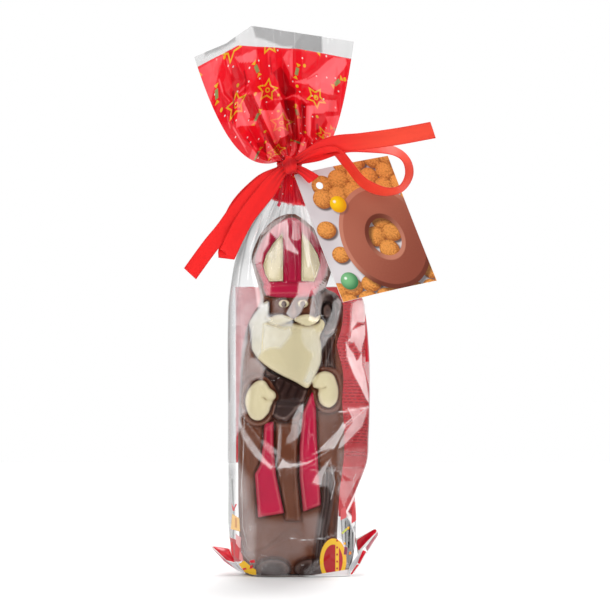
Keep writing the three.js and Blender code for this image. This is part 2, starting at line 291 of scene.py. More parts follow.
class Num:
    """A number in a node tree, so that a formula of nodes can be written as one."""

    def __init__(self, tree, socket):
        self.tree = tree
        self.socket = socket

    def call(self, operation, *others):
        node = self.tree.nodes.new("ShaderNodeMath")
        node.operation = operation
        for slot, value in zip(node.inputs, (self, *others)):
            put(self.tree, slot, value)
        return Num(self.tree, node.outputs[0])

    __add__ = formula("ADD")
    __sub__ = formula("SUBTRACT")
    __mul__ = formula("MULTIPLY")
    __truediv__ = formula("DIVIDE")
    abs = formula("ABSOLUTE")
    floor = formula("FLOOR")
    fract = formula("FRACT")
    root = formula("SQRT")
    sine = formula("SINE")
    cosine = formula("COSINE")
    power = formula("POWER")
    heading = formula("ARCTAN2")
    least = formula("MINIMUM")
    most = formula("MAXIMUM")

    def step(self, low, high):
        """0 below low and 1 above high, smooth between. Turned round where low is above high."""
        node = self.tree.nodes.new("ShaderNodeMapRange")
        node.interpolation_type = "SMOOTHSTEP"
        ends = (1.0, 0.0) if low > high else (0.0, 1.0)
        for label, value in zip(("Value", "From Min", "From Max", "To Min", "To Max"),
                                (self, min(low, high), max(low, high), *ends)):
            put(self.tree, node.inputs[label], value)
        return Num(self.tree, node.outputs[0])


class Paint:
    """A material, or the world, being put together from nodes."""

    def __init__(self, name, kind=bpy.data.materials, output="ShaderNodeOutputMaterial"):
        self.owner = kind.new(name)
        self.owner.use_nodes = True
        self.tree = self.owner.node_tree
        self.tree.nodes.clear()
        self.output = self.node(output)
        self.coordinates = self.node("ShaderNodeTexCoord")

    def node(self, kind, inputs=None, **settings):
        """A node with its settings and its inputs by name or number. An input of None is left as it is."""
        node = self.tree.nodes.new(kind)
        for key, value in settings.items():
            setattr(node, key, value)
        for key, value in (inputs or {}).items():
            if value is not None:
                put(self.tree, node.inputs[key], value)
        return node

    def number(self, kind, inputs=None, output=0, **settings):
        return Num(self.tree, self.node(kind, inputs, **settings).outputs[output])

    def shader(self, kind, inputs):
        return self.node(kind, inputs).outputs[0]

    def plane(self, space):
        """The three coordinates of a space, in mm where it is Object, as numbers."""
        split = self.node("ShaderNodeSeparateXYZ", {0: self.coordinates.outputs[space]})
        scale = 1 / MM if space == "Object" else 1.0
        return [Num(self.tree, socket) * scale for socket in split.outputs]

    def layer(self, name):
        return self.number("ShaderNodeAttribute", output="Fac", attribute_name=name)

    def point(self, x, y, z=0.0):
        return self.node("ShaderNodeCombineXYZ", {0: x, 1: y, 2: z}).outputs[0]

    def noise(self, size, detail, roughness=0.55, at=None, stretch=(1, 1, 1)):
        """A cloudy number around 0.5 with features of about the given size in mm."""
        unit = 1.0 if at else 1 / MM
        mapping = self.node("ShaderNodeMapping", {
            "Vector": at or self.coordinates.outputs["Object"],
            "Scale": tuple(unit / size / s for s in stretch),
        })
        return self.number("ShaderNodeTexNoise", {
            "Vector": mapping.outputs[0], "Scale": 1.0, "Detail": detail, "Roughness": roughness,
        })

    def random(self, vector):
        return self.number("ShaderNodeTexWhiteNoise", {"Vector": vector}, "Value", noise_dimensions="3D")

    def mix(self, share, first, second, kind="MIX"):
        """A colour between two, or the second laid over the first in the given way."""
        inputs = {0: share, 6: first, 7: second}
        return self.node("ShaderNodeMix", inputs, data_type="RGBA", blend_type=kind).outputs[2]

    def bump(self, height, distance, strength):
        inputs = {"Height": height, "Distance": distance * MM, "Strength": strength}
        return self.shader("ShaderNodeBump", inputs)

    def principled(self, color, roughness, normal=None, **values):
        inputs = {"Base Color": color, "Roughness": roughness, "Normal": normal}
        inputs.update((key.replace("_", " "), value) for key, value in values.items())
        return self.shader("ShaderNodeBsdfPrincipled", inputs)

    def matt(self, color, normal):
        return self.principled(color, 0.5, normal, Specular_IOR_Level=0.0)

    def blend(self, share, first, second):
        return self.shader("ShaderNodeMixShader", {0: share, 1: first, 2: second})

    def add(self, first, second):
        return self.shader("ShaderNodeAddShader", {0: first, 1: second})

    def clear(self, tint):
        return self.shader("ShaderNodeBsdfTransparent", {"Color": tint})

    def glossy(self, roughness, normal):
        inputs = {"Color": (1, 1, 1), "Roughness": roughness, "Normal": normal}
        return self.shader("ShaderNodeBsdfAnisotropic", inputs)

    def mirror(self, least, normal):
        """The share of light that a thin film mirrors, alike from both sides."""
        facing = self.number("ShaderNodeLayerWeight", {"Blend": 0.5, "Normal": normal}, "Facing")
        return facing.power(5.0) * (1 - least) + least

    def lit_through(self, shader):
        """The same shader, but lamps shine through it without taking on its colour."""
        lamp_ray = self.number("ShaderNodeLightPath", output="Is Shadow Ray")
        return self.blend(lamp_ray, shader, self.clear((0.93, 0.93, 0.93)))

    def done(self, shader):
        put(self.tree, self.output.inputs["Surface"], shader)
        return self.owner


def scaled(color, scale):
    return tuple(min(1, scale * c) for c in color)


# The figure. Forms are placed in its own plane: x from its middle and z above its foot.

figure_left = through([
    (0, 28.2), (7.8, 30), (24, 31.2), (60.6, 31.8), (93, 31.5), (115.8, 30.6), (133.8, 29.4), (145.8, 27),
    (154.8, 23.4), (163, 18.8), (168, 18.7), (172.8, 19.8), (181.8, 22.4), (188.4, 23.6), (198, 21),
    (204.6, 17.4), (210.6, 11.8), (213.8, 7), (215.4, 2.5),
])
figure_right = through([
    (0, 27), (16.8, 27.6), (31.2, 28.2), (49.8, 29.4), (61.8, 31), (75, 32.1), (93, 31.5), (100.8, 30.8),
    (120.6, 31.2), (132, 28.5), (136.8, 27.6), (145.8, 30), (154.8, 31.2), (163.8, 30), (168, 26.4),
    (170.6, 21.4), (174, 22), (180.6, 24), (186.6, 24.2), (192.6, 22.4), (199.8, 18.6), (205.8, 14.4),
    (211.8, 8), (215.4, 2.5),
])
figure_front_depth = through([
    (0, 13.5), (5, 15), (12, FIGURE_FRONT), (150, FIGURE_FRONT), (166, 14.4), (190, 13.4), (204, 10.4),
    (211, 6.4), (215.4, 1.2),
])
figure_back_depth = through([
    (0, 12), (10, FIGURE_BACK), (130, FIGURE_BACK), (165, 12.4), (195, 10.5), (208, 6.5), (215.4, 1.2),
])

MITRE = rounded([
    (-12.6, 166.8), (-16.6, 175.2), (-20.6, 184), (-21, 190.4), (-16.4, 200.6), (-8.6, 209.2), (0.8, 213.4),
    (9.4, 208), (16.4, 200.4), (22, 190), (21.6, 182.4), (16.9, 173), (12.6, 166.8),
])
MITRE_BAND = [
    (-14.6, 167.2), (-16.6, 171.8), (-15.8, 174.2), (0.8, 175.2), (17, 174.2), (17, 171.8), (14.4, 167.2),
]
MITRE_BAR = [(-3.3, 174), (-3.6, 211), (0.8, 213), (5.2, 211), (4.8, 174)]
MITRE_PANELS = [
    [(-12.8, 175.6), (-4.7, 176), (-4.9, 204.6), (-10.6, 198), (-14.8, 191), (-16.4, 185.4), (-15.2, 180)],
    [(6.3, 176), (13.8, 175.6), (15.8, 180), (17.3, 186), (15.8, 191.6), (12, 198), (6.6, 204.6)],
]
FACE = [(-12.6, 153.6), (-13.4, 166), (-11, 167.6), (13.4, 167.6), (16.8, 165.4), (16.6, 153.6)]
FACE_X = 1.5
EYE_Z = 162.4
EYE_WIDTH = 5.6
BEARD = rounded([
    (-14.2, 163.8), (-17.8, 160.8), (-20.6, 157), (-24.8, 150.6), (-23.8, 146), (-23.4, 140), (-23, 135),
    (-19.4, 129.6), (-13.6, 124.6), (-6, 120), (2, 116.2), (9.2, 112.4), (12, 114.4), (15.4, 121),
    (18, 128.4), (18.2, 136.6), (17.4, 142.8), (19.4, 147.6), (20, 151.4), (16.6, 154), (15.4, 151.2),
    (1.5, 151), (-12.6, 153), (-13, 160),
])
BEARD_RIM = [(-19.6, 130), (-13.6, 125.2), (-5.6, 120.6), (2.4, 116.8), (9, 113.4)]
MOUSTACHE = [
    rounded([(1.4, 152.8), (-1.6, 155), (-7, 156), (-12.4, 154.6), (-15.8, 156), (-15, 152.4), (-10, 149.4),
        (-4.6, 150.2)]),
    rounded([(1.6, 152.8), (4.6, 155.2), (10, 156.2), (14.6, 154.6), (17.6, 155.8), (16.4, 151.8),
        (11, 149.2), (5.6, 150.2)]),
]
HANDS = [
    rounded([(-22.7, 114.7), (-18.9, 116.9), (-15.2, 116.2), (-12.5, 112.4), (-9.5, 109.8), (-8.9, 107.2),
        (-10.3, 104.6), (-11.8, 101.2), (-13.3, 97.4), (-16.7, 93.9), (-20.4, 92.9), (-24.2, 94.8),
        (-26.4, 99.3), (-27.3, 104.6), (-26, 109.8)]),
    rounded([(12.4, 118), (15.6, 121), (20.8, 122.2), (25.3, 119.9), (27.6, 114.3), (28.3, 109),
        (27.2, 103.8), (23.8, 100.8), (20.1, 101.2), (17.1, 103.8), (16, 108.3), (16.2, 111.3),
        (13.7, 112.6), (12.3, 115.4)]),
]
CUFFS = [
    rounded([(-21.4, 120.2), (-27.2, 116), (-29.9, 107.6), (-29.7, 98.6), (-26.2, 91.8), (-19.8, 89.6),
             (-13.4, 91.8), (-10.4, 97.8), (-9, 103), (-7.4, 107), (-9.4, 112), (-14, 118.2)]),
    rounded([(11.6, 121), (16.4, 124.4), (22.4, 125), (28, 121.6), (30.4, 114.6), (30.6, 106), (28.6, 99.4),
             (23.4, 97.4), (17.6, 98.6), (14.2, 103.4), (13, 110), (10.4, 115.6)]),
]
SLEEVES = [
    [(-24.6, 146), (-28.6, 134), (-29.6, 117), (-25.4, 111), (-14, 118), (-16, 126)],
    [(26.4, 145), (29, 140), (30.6, 122), (29, 117), (26.6, 123)],
]
BOOK = [
    (-15.2, 124), (-2, 118.6), (11.1, 112.8), (8.1, 104.6), (6.6, 102.3), (2.9, 97.8), (-2.4, 92.6),
    (-7.7, 93.3), (-12.2, 96.3), (-11.4, 102.3), (-8.8, 105.3), (-9.5, 109.8), (-12.9, 114.3),
    (-15.9, 118.8),
]
BOOK_FOOT = [(-11, 103.4), (7, 102.6), (2.9, 97.8), (-2.4, 92.6), (-7.7, 93.3), (-12.2, 96.3)]
BOOK_GROOVES = (0.2, 0.4, 0.58, 0.76)
STOLE = [
    [(-15.8, 92), (-10.4, 92), (-10.4, 77), (-8.9, 60), (-4.2, 37.4), (-19.6, 34.8), (-21.4, 60.4),
        (-18.4, 66), (-16.2, 80)],
    [(12.6, 110), (15, 108), (14.8, 102), (15.4, 82), (16.2, 66), (17.9, 42.2), (7.4, 38.4), (5.2, 60),
        (5.4, 78), (7, 97)],
]
STOLE_EDGE = [
    [(-15.6, 92), (-14.2, 92), (-14.2, 78), (-16, 66), (-18.6, 60.4), (-17, 35), (-19.6, 34.8), (-21.4, 60.4),
     (-18.4, 66), (-16.2, 80)],
    [(12.6, 110), (10, 98), (8.4, 78), (8.2, 60), (10.4, 39.2), (7.4, 38.4), (5.2, 60), (5.4, 78), (7, 97)],
]
CENTRE_PANEL = [(-8.8, 91), (3.8, 91), (3.6, 60), (5.8, 33), (-3, 33), (-7.6, 60)]
CROSIER_HEAD = rounded([
    (17.2, 167.6), (21.4, 170.6), (26.6, 168.4), (29.8, 162.4), (29.6, 153.4), (26.4, 146.4), (20.6, 143.6),
    (18.4, 147), (17.6, 152), (16.4, 157), (16.2, 162.6),
])
CROSIER_EYE = ellipse(21.6, 158.0, 2.9, 4.4, 0.1)
CROSIER_RING = ellipse(21.8, 157.6, 5.0, 7.4, 0.1)
STAFF = [
    [(20.0, 143.4), (25.2, 143.4), (25.2, 124.6), (20.0, 124.6)],
    [(19.6, 64), (25.6, 64), (25.2, 46), (21.8, 24), (19.4, 3), (13.4, 3), (15.6, 24), (19, 46)],
]
STAFF_CORE = [
    [(21.8, 142.4), (23.4, 142.4), (23.4, 124.8), (21.8, 124.8)],
    [(21.6, 64), (23.6, 64), (23.2, 46), (19.8, 24), (17.4, 3), (15.4, 3), (17.6, 24), (21, 46)],
]
HEM = [
    (-30, 12), (-16, 17), (-2, 28), (3, 28), (16, 17), (27, 12), (27, 9), (14, 13.4), (0.5, 23),
    (-15, 13.4), (-30, 9),
]
SHOES = [ellipse(-10.6, 3.4, 10, 6.6), ellipse(12.2, 3.4, 10, 6.6)]

# Soft grooves of each part, or ridges where the depth is below zero: a line, a depth and a width.
BODY_LINES = [
    ([(-26.6, 138), (-25.6, 147), (-22.4, 155)], 0.5, 1.0),
    ([(26.6, 141), (23.4, 132), (22.4, 124)], 0.6, 1.2),
]
PANEL_LINES = [([(x, 90), (x + 0.2, 60), (x + 1.6, 34)], 0.45, 0.6) for x in (-6.2, 1.4)]
ROBE_LINES = [
    ([(-28.6, 86), (-28.2, 60), (-27.4, 22)], 0.9, 1.3), ([(-24.6, 88), (-24.4, 66), (-23.4, 30)], 0.7, 1.3),
    ([(26.6, 92), (27.8, 70), (26.4, 30)], 0.7, 1.3),
]
HEM_RIDGE = [(-29, 13), (-15, 18), (0.5, 30), (15, 18), (26.6, 13)]
BEARD_LINES = [
    ([(-19.6, 152), (-19.4, 144), (-19.8, 137)], 0.35, 1.3),
    ([(-14, 148), (-15.4, 139), (-12.6, 130)], 0.25, 1.3),
    ([(13.6, 148), (14.4, 139), (12.4, 129)], 0.25, 1.3),
    ([(-14.6, 160.4), (-17, 155), (-18.2, 149)], 0.4, 1.3),
    ([(-6, 146), (-8, 137), (-2, 125)], 0.2, 1.3), ([(7, 146), (8.4, 136), (6, 124)], 0.2, 1.3),
]
MOUSTACHE_LINES = [
    ([(-13, 154.2), (-8, 152.8), (-3, 152.8)], 0.3, 0.6), ([(15.6, 154), (11, 152.8), (6, 152.9)], 0.3, 0.6),
]
HAND_LINES = [
    ([(-9.6, 104.8), (-13.4, 105.2), (-16.6, 107)], 1.1, 0.8),
    ([(-17.6, 112.6), (-15.4, 109.4), (-15.2, 105)], 0.5, 0.9),
    ([(13.6, 112), (17, 111.8), (20.6, 113)], 1.1, 0.8),
]

TINTS = ("crimson", "white", "dark")


class Relief:
    """The figure's front, built up form by form: a height over its body, and how far inside each tint."""

    def __init__(self, x, z):
        self.x = x
        self.z = z
        self.height = np.zeros(x.shape)
        self.tints = {name: np.full(x.shape, -FAR) for name in TINTS}

    def inside(self, outline):
        return inside(outline, self.x, self.z)

    def paint(self, distance, tint):
        for name, field in self.tints.items():
            if name == tint:
                self.tints[name] = np.maximum(field, distance)
            else:
                self.tints[name] = np.minimum(field, -distance)

    def groove(self, distance, depth, width=0.75):
        self.height = self.height - depth * np.exp(-(((distance + width) / width) ** 2))

    def plate(self, outline, height, edge, tint, groove):
        """A flat raised field with a bevelled edge and a groove round it."""
        d = self.inside(outline)
        self.groove(d, groove)
        self.height = np.maximum(self.height, height * np.clip((d + 0.15) / edge, -1, 1) - FAR * (d < -0.15))
        self.paint(d, tint)

    def pillow(self, outline, height, rise, tint, groove=0.0, base=0.0):
        """A rounded field that rises over a given distance from its edge."""
        d = self.inside(outline)
        self.groove(d, groove)
        t = np.clip(d / rise, 0, 1)
        lifted = base * smoothstep(0, 0.8, d) + height * np.sqrt(t * (2 - t))
        self.height = np.where(d > 0, np.maximum(self.height, lifted), self.height)
        self.paint(d, tint)

    def sink(self, outline, depth, edge):
        """Lower a field, and give how far inside it each point is."""
        d = self.inside(outline)
        self.height = self.height - depth * smoothstep(0, edge, d)
        return d

    def line(self, points, depth, width):
        """A soft groove along an open line, or a ridge where the depth is below zero."""
        self.height = self.height - depth * np.exp(-((nearest(points, self.x, self.z) / width) ** 2))

    def lines(self, table, count):
        for points, depth, width in table:
            self.line(spline(points, count), depth, width)


def carve_robe(relief):
    relief.plate(CENTRE_PANEL, 1.0, 1.4, None, 1.0)
    relief.lines(PANEL_LINES, 12)
    for stripe, edge in zip(STOLE, STOLE_EDGE):
        relief.plate(stripe, 1.8, 1.2, "crimson", 1.1)
        relief.plate(edge, 2.7, 1.3, "crimson", 0)
    relief.lines(ROBE_LINES, 14)
    relief.line(spline(HEM_RIDGE, 24), -0.6, 2.6)
    relief.sink(HEM, 0.5, 1.5)
    for shoe in SHOES:
        relief.pillow(shoe, 4.4, 5.0, "dark", 1.0)


def carve_face(relief):
    """A plain round face: brow and cheeks, a short nose, two open eyes with their lids."""
    relief.paint(relief.sink(FACE, 0.6, 1.0), None)
    relief.pillow(ellipse(FACE_X, 159.6, 13.8, 9.8), 1.4, 8.0, None, base=-0.6)
    relief.pillow(ellipse(FACE_X, 157.2, 2.7, 4.6), 3.6, 2.6, None, 0.2)
    relief.line([(FACE_X, 158), (FACE_X, 165)], -0.8, 1.3)
    for side in (-1, 1):
        eye_x = FACE_X + side * EYE_WIDTH
        relief.pillow(ellipse(eye_x, EYE_Z, 3.2, 2.3), 2.0, 2.0, "white", 0.4, 0.4)
        relief.pillow(ellipse(eye_x, EYE_Z - 0.2, 1.6, 1.8), 2.6, 0.9, "dark", base=0.6)
        lid = [(eye_x + side * 3.5, EYE_Z + 0.4), (eye_x, EYE_Z + 2.8), (eye_x - side * 3.3, EYE_Z + 0.3)]
        relief.line(spline(lid, 9), -0.8, 0.6)
        relief.pillow(ellipse(FACE_X + side * 8.6, 157.0, 3.6, 2.6), 1.2, 2.6, None)


def carve_mitre(relief):
    relief.plate(MITRE, 1.8, 1.4, "crimson", 0.5)
    for panel in MITRE_PANELS:
        relief.groove(relief.inside(panel), 0.7, 0.5)
        d = relief.sink(panel, 1.6, 1.0)
        relief.paint(d + 0.35, None)
        relief.paint(d - 0.05, "white")
    relief.plate(MITRE_BAR, 3.0, 2.2, "crimson", 0)
    relief.plate(MITRE_BAND, 3.0, 1.6, "crimson", 0.4)


def carve_arms(relief):
    for sleeve in SLEEVES:
        relief.plate(sleeve, 1.6, 2.4, None, 0.7)
    relief.plate(BOOK, 2.6, 1.6, "dark", 0.9)
    relief.plate(BOOK_FOOT, 3.4, 1.4, "dark", 0.8)
    for at in BOOK_GROOVES:
        top = np.array([lerp(-14, 9.4, at), lerp(122.6, 111.2, at)])
        relief.line([top + (0.4, -2.4), top + (-2.0, -8.0)], 1.1, 0.8)
    for cuff, hand in zip(CUFFS, HANDS):
        relief.plate(cuff, 2.2, 1.2, None, 0.8)
        relief.pillow(hand, 3.4, 6.0, "white", 1.2, 2.8)
    relief.lines(HAND_LINES, 9)


def carve_crosier(relief):
    for shaft, core in zip(STAFF, STAFF_CORE):
        relief.plate(shaft, 1.9, 1.0, "dark", 0.9)
        relief.plate(core, 2.6, 0.8, "dark", 0)
    relief.pillow(CROSIER_HEAD, 2.6, 2.4, "dark", 0.9, 1.2)
    relief.sink(CROSIER_RING, 1.9, 1.6)
    relief.pillow(CROSIER_EYE, 2.6, 2.8, "dark", 0.3, 2.0)


def carve_beard(relief):
    relief.pillow(BEARD, 3.4, 6.0, "white", 1.0, 1.8)
    relief.line(spline(BEARD_RIM, 16), -0.8, 1.0)
    relief.lines(BEARD_LINES, 12)
    for lobe in MOUSTACHE:
        relief.pillow(lobe, 2.4, 3.4, "white", 0.3, 4.0)
    relief.lines(MOUSTACHE_LINES, 9)
    relief.pillow(ellipse(1.5, 148.6, 2.6, 1.4), 0.8, 1.2, "white", 0.2, 4.9)


def figure_relief(x, z):
    relief = Relief(x, z)
    relief.lines(BODY_LINES, 14)
    for carve in (carve_robe, carve_face, carve_mitre, carve_arms, carve_crosier, carve_beard):
        carve(relief)
    return relief

def section(s, power, flat):
    """The rounded-box profile of a half section: 1 in the middle and 0 at both sides."""
    return np.maximum(0, 1 - np.abs(s) ** power) ** flat


def half_width(x, z):
    return np.where(x < 0, figure_left(z), figure_right(z))


def figure_front(x, z):
    """How far the figure's front stands before its middle plane, in its own plane, and its relief."""
    half = half_width(x, z)
    s = np.clip(x / half, -1, 1)
    relief = figure_relief(x, z)
    rim = smoothstep(0, 0.10, 1 - np.abs(s))
    depth = figure_front_depth(z) * section(s, 5, 0.42) + rim * relief.height
    return np.where((np.abs(x) < half) & (z > 0) & (z < FIGURE_HEIGHT), depth, 0.0), relief


# Folds of the cape: where each is at the shoulders, and how far it leans.
CAPE_FOLDS = ((-19, -0.06), (-9, -0.03), (1.0, 0.0), (11, 0.03), (20, 0.05))


def figure_back(x, z):
    """The plain back: a cape with soft folds under a smooth head."""
    s = np.clip(x / half_width(x, z), -1, 1)
    cape = smoothstep(168, 140, z)
    folds = np.zeros(x.shape)
    for at, lean in CAPE_FOLDS:
        folds -= 0.8 * np.exp(-(((x - at - lean * (150 - z)) / 1.7) ** 2))
    rim = smoothstep(0, 0.14, 1 - np.abs(s))
    shoulder = 1.2 * smoothstep(128, 124, z)
    return figure_back_depth(z) * section(s, 4, 0.45) + rim * (cape * folds - shoulder + 1.2)


HOLLOW_SHADE = (0.30, 0.16, 0.13)
RIDGE_LIGHT = (0.30, 0.20, 0.17)


def chocolate():
    paint = Paint("coloured_chocolate")
    cloud = paint.noise(22.0, 2.0)
    fine = paint.noise(1.1, 4.0, 0.6)
    color = paint.mix(cloud.step(0.3, 0.75), scaled(MILK, 0.90), scaled(MILK, 1.12))
    crimson = paint.mix(cloud.step(0.35, 0.7), scaled(CRIMSON, 0.92), scaled(CRIMSON, 1.08))
    white = paint.mix(cloud.step(0.3, 0.7), WHITE, scaled(WHITE, 1.07))
    for name, tint in zip(TINTS, (crimson, white, DARK)):
        color = paint.mix(paint.layer(name).step(-0.14, 0.14), color, tint)
    # Painted shade in the relief's hollows and a painted highlight on its ridges.
    hollow = paint.layer("hollow")
    color = paint.mix(hollow.step(0.12, 1.1) * 0.72, color, HOLLOW_SHADE, "MULTIPLY")
    color = paint.mix(hollow.step(-0.12, -0.9) * 0.35, color, RIDGE_LIGHT, "SCREEN")
    normal = paint.bump(fine + cloud * 2.0, 0.05, 0.6)
    return paint.done(paint.principled(color, fine * 0.12 + 0.40, normal, Specular_IOR_Level=0.14))


FIGURE_ROWS = 350
FIGURE_FRONT_COLUMNS = 190
FIGURE_BACK_COLUMNS = 56
# The front's depth is taken this far inside its rim, as a share and in mm, since it is zero outside.
RIM_SHARE = 0.99999
RIM_MM = 1e-3


def build_figure():
    z = FIGURE_HEIGHT * np.linspace(0, 1, FIGURE_ROWS)[:, None]
    half_turn = np.linspace(-1, 1, FIGURE_FRONT_COLUMNS)
    s_front = lerp(half_turn, np.sin(half_turn * math.pi / 2), 0.35)[None, :]
    s_back = np.linspace(1, -1, FIGURE_BACK_COLUMNS)[None, 1:-1]
    front_x, back_x = (half_width(s, z) * s for s in (s_front, s_back))
    front_z, back_z = (np.broadcast_to(z, x.shape) for x in (front_x, back_x))
    depth, relief = figure_front(front_x * RIM_SHARE, np.clip(front_z, RIM_MM, FIGURE_HEIGHT - RIM_MM))
    back = figure_back(back_x, back_z)
    x = np.concatenate([front_x, back_x], axis=1)
    y = np.concatenate([-depth, back], axis=1)
    hollow = blurred(relief.height, 2.2, 3.6) - relief.height
    plain = np.full(back.shape, -FAR)
    layers = {name: np.concatenate([field, plain], axis=1) for name, field in relief.tints.items()}
    layers["hollow"] = np.concatenate([hollow, plain], axis=1)
    faces = tube_faces(*x.shape)
    return mesh_piece("chocolate_figure", joined(x + FIGURE_X, y, z + FIGURE_Z), faces, [chocolate()], layers)


# The clear bag below its neck

bag_left = through([
    (0, 26.4), (3, 33.4), (9, 37.8), (21, 40.4), (58, 41.4), (98, 41.3), (150, 41.4), (162, 41),
    (176, 39.3), (188, 37.2), (202, 32.4), (217, 23.4), (226, 16.4), (235, 12.2), (241, 11), (RUFF_Z, 11),
])
bag_right = through([
    (0, 32), (18, 35), (36, 35.8), (48, 35.2), (60, 39.4), (66, 41.6), (83, 43), (103, 43.6), (137, 43),
    (157, 40.9), (167, 38.5), (172, 33), (176, 27.4), (182, 21.4), (192, 16.8), (207, 11.4), (223, 7.2),
    (235, 3.6), (241, 2), (RUFF_Z, 2),
])
bag_front = through([
    (0, 15.5), (12, 15), (40, 14.5), (150, 14), (180, 13), (210, 11), (228, 8), (240, 6.4), (RUFF_Z, 6.4),
])
bag_back = through([
    (0, 19), (6, 20.5), (30, 21.5), (150, 21.5), (180, 19), (210, 13), (228, 8.5), (240, 6.4), (RUFF_Z, 6.4),
])
bag_power = through([(0, 7), (150, 5), (190, 3.2), (225, 2.2), (240, 2)])

# Creases of the front film: a line in the picture plane, a height and a width. Below zero it folds in.
FRONT_CREASES = [
    ([(-29, 92), (-19, 78), (-10, 68.5), (-2, 66), (8, 69.6), (20, 77), (28, 99)], 1.1, 2.6),
    ([(-9, 70), (-6, 62), (-3, 68)], 0.8, 2.0),
    ([(2.7, 221), (6, 200), (9.6, 174.6)], 1.3, 2.2),
    ([(-10, 224), (-17, 205), (-22, 180)], 0.9, 2.6),
    ([(-2, 226), (-6, 208), (-10, 190)], 0.6, 2.4),
    ([(9, 206), (14, 186), (16, 168)], 0.8, 2.0),
    ([(22, 168), (24, 150), (18, 130)], 1.0, 2.8),
    ([(-34, 168), (-33, 130), (-35, 92)], 0.9, 2.4),
    ([(-37, 176), (-38, 150), (-37.4, 120)], -0.8, 1.8),
    ([(33, 158), (37, 143), (31, 132)], 1.3, 2.6),
    ([(31, 132), (40, 118), (37, 98)], 1.1, 2.4),
    ([(30, 100), (42, 97)], 0.9, 2.0),
    ([(25, 66), (40, 65), (36, 52)], 1.0, 2.2),
    ([(26, 62), (34, 46), (31, 24)], 1.2, 2.2),
    ([(9, 65), (21, 62), (24, 50)], 0.9, 3.0),
    ([(2, 22.6), (16, 23.4), (27, 27)], 0.5, 1.0),
    ([(-37, 56), (-34, 30), (-36, 12)], 0.8, 2.4),
    ([(-30, 14), (-22, 6), (-16, 1)], 0.8, 2.0),
    ([(8, 3), (20, 12), (30, 8)], 0.7, 1.8),
    ([(-8, 96), (-2, 80), (3, 92)], 0.6, 2.2),
]
